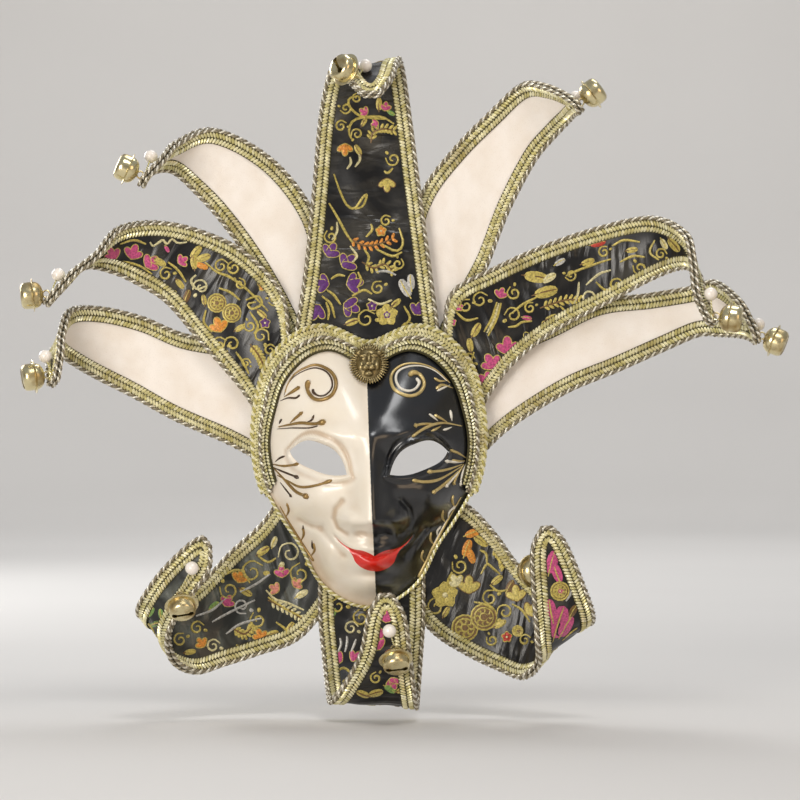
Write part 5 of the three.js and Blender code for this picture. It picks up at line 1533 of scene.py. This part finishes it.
print("bell", len(bell.data.polygons), "faces, bead", len(bead.data.polygons))

# %% Hang the bells and beads
AXES = {
    "top": (-0.68, -0.66, 0.32), "upper_left": (-0.9, -0.1, 0.4), "mid_left": (-1, -0.1, -0.1),
    "low_left": (-0.95, -0.25, -0.15), "upper_right": (0.8, 0, 0.6), "mid_right": (1, -0.15, -0.15),
    "low_right": (0.85, -0.2, -0.35), "collar_left": (0.15, -0.65, -0.75),
    "collar_centre": (0.1, -0.62, -0.78), "collar_right": (-0.5, 0.85, -0.1),
}
TIE_RADIUS, TIE_PITCH, TIE_POINTS, TIE_START, TIE_UP = 0.75, 2.4, 24, 1.6, (0.2, -1, 0.3)
OTHER_WAY = (0.3, 0.5, 0.81)  # any way that no bell points in
BELL_OUT = 0.1  # how far the pressed bell stands out of the solid


def copied(model, name, place):
    """A copy of a modelled piece with a mesh of its own, moved to its place in that mesh."""
    mesh = model.data.copy()
    mesh.transform(place)
    copy = bpy.data.objects.new(name, mesh)
    bpy.context.scene.collection.objects.link(copy)
    return copy


for name, way in AXES.items():
    axis = np.array(way) / np.linalg.norm(way)
    part = bpy.data.objects[f"{name}_bell"]
    corners = np.array([part.matrix_world @ v.co for v in part.data.vertices]) / MM
    beside = np.cross(axis, OTHER_WAY)
    beside /= np.linalg.norm(beside)
    third = np.cross(axis, beside)
    middle = sum((np.max(corners @ d) + np.min(corners @ d)) / 2 * d for d in (beside, third))
    middle = middle + (np.max(corners @ axis) - BELL + BELL_OUT) * axis
    turned = Vector((0, 0, -1)).rotation_difference(Vector(axis)).to_matrix().to_4x4()
    hung = copied(bell, f"{name}_jingle_bell", Matrix.Translation(Vector(middle * MM)) @ turned)
    dress(hung, [brass], [f"{name}_bell"], 40)
    low, high = (np.array(v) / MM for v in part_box(f"{name}_pearl"))
    hung = copied(bead, f"{name}_glass_pearl", Matrix.Translation(Vector((low + high) / 2 * MM)))
    dress(hung, [pearl_skin], [f"{name}_pearl"], 60)
    start, end = middle - axis * (BELL + TIE_START + LOOP), (low + high) / 2
    path = start + (end - start) * np.linspace(0, 1, TIE_POINTS)[:, None]
    path, up, place = spread(path, np.tile(unit(np.array(TIE_UP)), (TIE_POINTS, 1)), 0.5)
    sewn(f"{name}_tie_thread", twisted(path, up, place, TIE_RADIUS, TIE_PITCH), gimp, ())
for spare in (bell, bead):
    bpy.data.objects.remove(spare)
print("bells and beads on", len(AXES), "points")

# %% [markdown]
# ## The lion
# A small cast lion's head sits at the middle of the brow. It is built like a clay model: round lumps for
# head, muzzle, cheeks and ears and long ones for the mane are pressed together, fused with a voxel
# remesh and smoothed, as a casting is by its mould.

# %% Model the lion
LUMPS = [  # x, y, out, radius in x, in y, out; a lump with an x has a twin on the other side
    (0, 0, 0.4, 13.2, 16.2, 1.3), (0, -0.5, 1.5, 9.3, 13.2, 4.6), (0, 7, 3.4, 6.4, 4.6, 3.2),
    (3.7, 4.3, 5.4, 3.3, 1.5, 1.5), (3.6, 1.9, 5.3, 1.7, 1.1, 1.1), (0, 1.2, 6.0, 1.7, 5.2, 1.9),
    (0, -3.4, 7.4, 2.5, 1.5, 1.7), (2.3, -6, 6.2, 2.6, 2.4, 2.2), (0, -10.4, 4.2, 3.2, 2.0, 2.4),
    (5.6, -3.2, 4.2, 2.6, 4.2, 2.4), (7.4, 8.6, 2.6, 2.3, 2.3, 2.0),
]
RAYS, RAY_WIDE, RAY_TALL, RAY_OUT = 44, 11.6, 14.6, 1.4  # the mane's locks stand on an oval
GRAIN = 0.45  # the casting's finest detail
for x, y, out, rx, ry, rz in LUMPS:
    for side in (-1, 1) if x else (1,):
        bpy.ops.mesh.primitive_uv_sphere_add(
            segments=20, ring_count=12, radius=1, location=(side * x * MM, y * MM, out * MM),
            scale=(rx * MM, ry * MM, rz * MM))
for i in range(RAYS):
    a = 2 * math.pi * (i + 0.5) / RAYS
    bpy.ops.mesh.primitive_uv_sphere_add(
        segments=10, ring_count=8, radius=1, rotation=(0, 0, a), scale=(3.8 * MM, 0.62 * MM, 1.0 * MM),
        location=(RAY_WIDE * math.cos(a) * MM, RAY_TALL * math.sin(a) * MM, RAY_OUT * MM))
lumps = [piece for piece in bpy.context.scene.objects if piece.name.startswith("Sphere")]
select_only(lumps[0])
for lump in lumps:
    lump.select_set(True)
bpy.ops.object.join()
lion = bpy.context.object
bpy.ops.object.transform_apply(location=True, rotation=True, scale=True)
lion.name = "lion_head"
apply(lion, "REMESH", mode="VOXEL", voxel_size=GRAIN * MM)
apply(lion, "SMOOTH", factor=0.5, iterations=2)
print("lion", len(lion.data.polygons), "faces")

# %% Darken its hollows and seat it
heights = np.array([v.co for v in lion.data.vertices]) / MM
mean = np.zeros(len(heights))
count = np.zeros(len(heights))
for edge in lion.data.edges:
    i, j = edge.vertices
    mean[i] += np.dot(heights[j] - heights[i], lion.data.vertices[i].normal)
    mean[j] += np.dot(heights[i] - heights[j], lion.data.vertices[j].normal)
    count[[i, j]] += 1
note(lion, "deep", np.clip(0.35 + 9 * mean / np.maximum(count, 1), 0, 1)[:, None])
LION_Y, LION_Z = -0.0175, 0.070  # metres
# turned up by 60 degrees, so that it leans back with the brow
seat = Matrix(((1, 0, 0, 0), (0, 0.5, -0.866, LION_Y), (0, 0.866, 0.5, LION_Z), (0, 0, 0, 1)))
lion.data.transform(seat)
dress(lion, [bronze], ["lion_medallion"], 60)
print("lion seated at", LION_Z, "m")

# %% [markdown]
# ## Floor, light and camera
# The mask hangs before a pale round sweep, wide enough for every view. A large soft light at the left
# front is the main one. A smaller one high in front puts the gleam on the black brow, a weak warm one fills
# from the right, one lights the top, one the back and one the wall. The camera stands straight in front
# at 2.6 m, where its long lens shows the mask almost without perspective.

# %% Studio
profile = [(0, 0), (3.9, 0), (4.4, 0.05), (4.9, 0.25), (5.2, 0.6), (5.3, 1.1), (5.3, 2.6)]
rings, FLOOR = 96, 0.195  # the floor is this far below the origin, in metres
corners = [(r * math.cos(a) / MM, r * math.sin(a) / MM, (z - FLOOR) / MM) for r, z in profile[1:]
           for a in np.linspace(0, 2 * math.pi, rings, endpoint=False)] + [(0, 0, -FLOOR / MM)]
faces = [[k * rings + i, k * rings + (i + 1) % rings,
          (k + 1) * rings + (i + 1) % rings, (k + 1) * rings + i]
         for k in range(len(profile) - 2) for i in range(rings)]
faces += [[len(corners) - 1, i, (i + 1) % rings] for i in range(rings)]
sweep = mesh_piece("studio_sweep", corners, faces)
# matt studio paper: pale warm grey with the faintest cloud
PAPER_CLOUD = 666.7  # millimetres
paper, tree, shader = material("studio paper", Roughness=0.95)
spot = add(tree, "ShaderNodeTexCoord", {}).outputs["Object"]
cloud = add(tree, "ShaderNodeTexNoise", {"Vector": spot, "Scale": per(PAPER_CLOUD)})
grey = add(tree, "ShaderNodeMix", {0: cloud.outputs["Fac"], A: "dedbd7", B: "d6d3cf"}, **RGBA)
tree.links.new(grey.outputs[MIXED], shader.inputs["Base Color"])
sweep.data.materials.append(paper)
select_only(sweep)
bpy.ops.object.shade_smooth()
print("floor at", -FLOOR, "m")

# %% Light and camera
MASK, WALL_SPOT = (0, 0, 0.05), (0, 5.3, 0.7)
SOFTBOXES = [  # name, place, what it is aimed at, size in metres, watts, tint
    ("key_softbox", (-1.3, -2.3, 0.3), MASK, 1.1, 37, "fff9f1"),
    ("front_softbox", (0.35, -1.25, 1.95), MASK, 0.75, 13, "ffffff"),
    ("fill_softbox", (1.9, -2.2, 0.7), MASK, 1.2, 9, "ffdfb8"),
    ("top_softbox", (0.5, 0.9, 2.2), MASK, 1.2, 16, "ffffff"),
    ("back_softbox", (-1.4, 1.7, 0.8), MASK, 1.0, 20, "ffffff"),
    ("wall_softbox", (0, 2.4, 2.5), WALL_SPOT, 2.0, 48, "ffffff"),
]
for name, place, aim, size, power, tint in SOFTBOXES:
    bpy.ops.object.light_add(type="AREA", location=place)
    lamp = bpy.context.object
    lamp.name = name
    lamp.data.size, lamp.data.energy, lamp.data.color = size, power, colour(tint)[:3]
    lamp.rotation_euler = (Vector(aim) - Vector(place)).to_track_quat("-Z", "Y").to_euler()
world = bpy.data.worlds.new("studio")
bpy.context.scene.world = world
world.use_nodes = True
sky = world.node_tree.nodes["Background"]
sky.inputs["Color"].default_value, sky.inputs["Strength"].default_value = colour("dfe3ea"), 0.45
bpy.context.scene.view_settings.view_transform = "Standard"

bpy.ops.object.camera_add(location=tuple(EYE_POINT * MM), rotation=(math.pi / 2, 0, 0))
camera = bpy.context.object
camera.data.lens, camera.data.sensor_width = 156, 36
camera.data.clip_end = 50
bpy.context.scene.camera = camera
print("lights", len(SOFTBOXES), "and a camera", round(-EYE_POINT[1] * MM, 1), "m away")
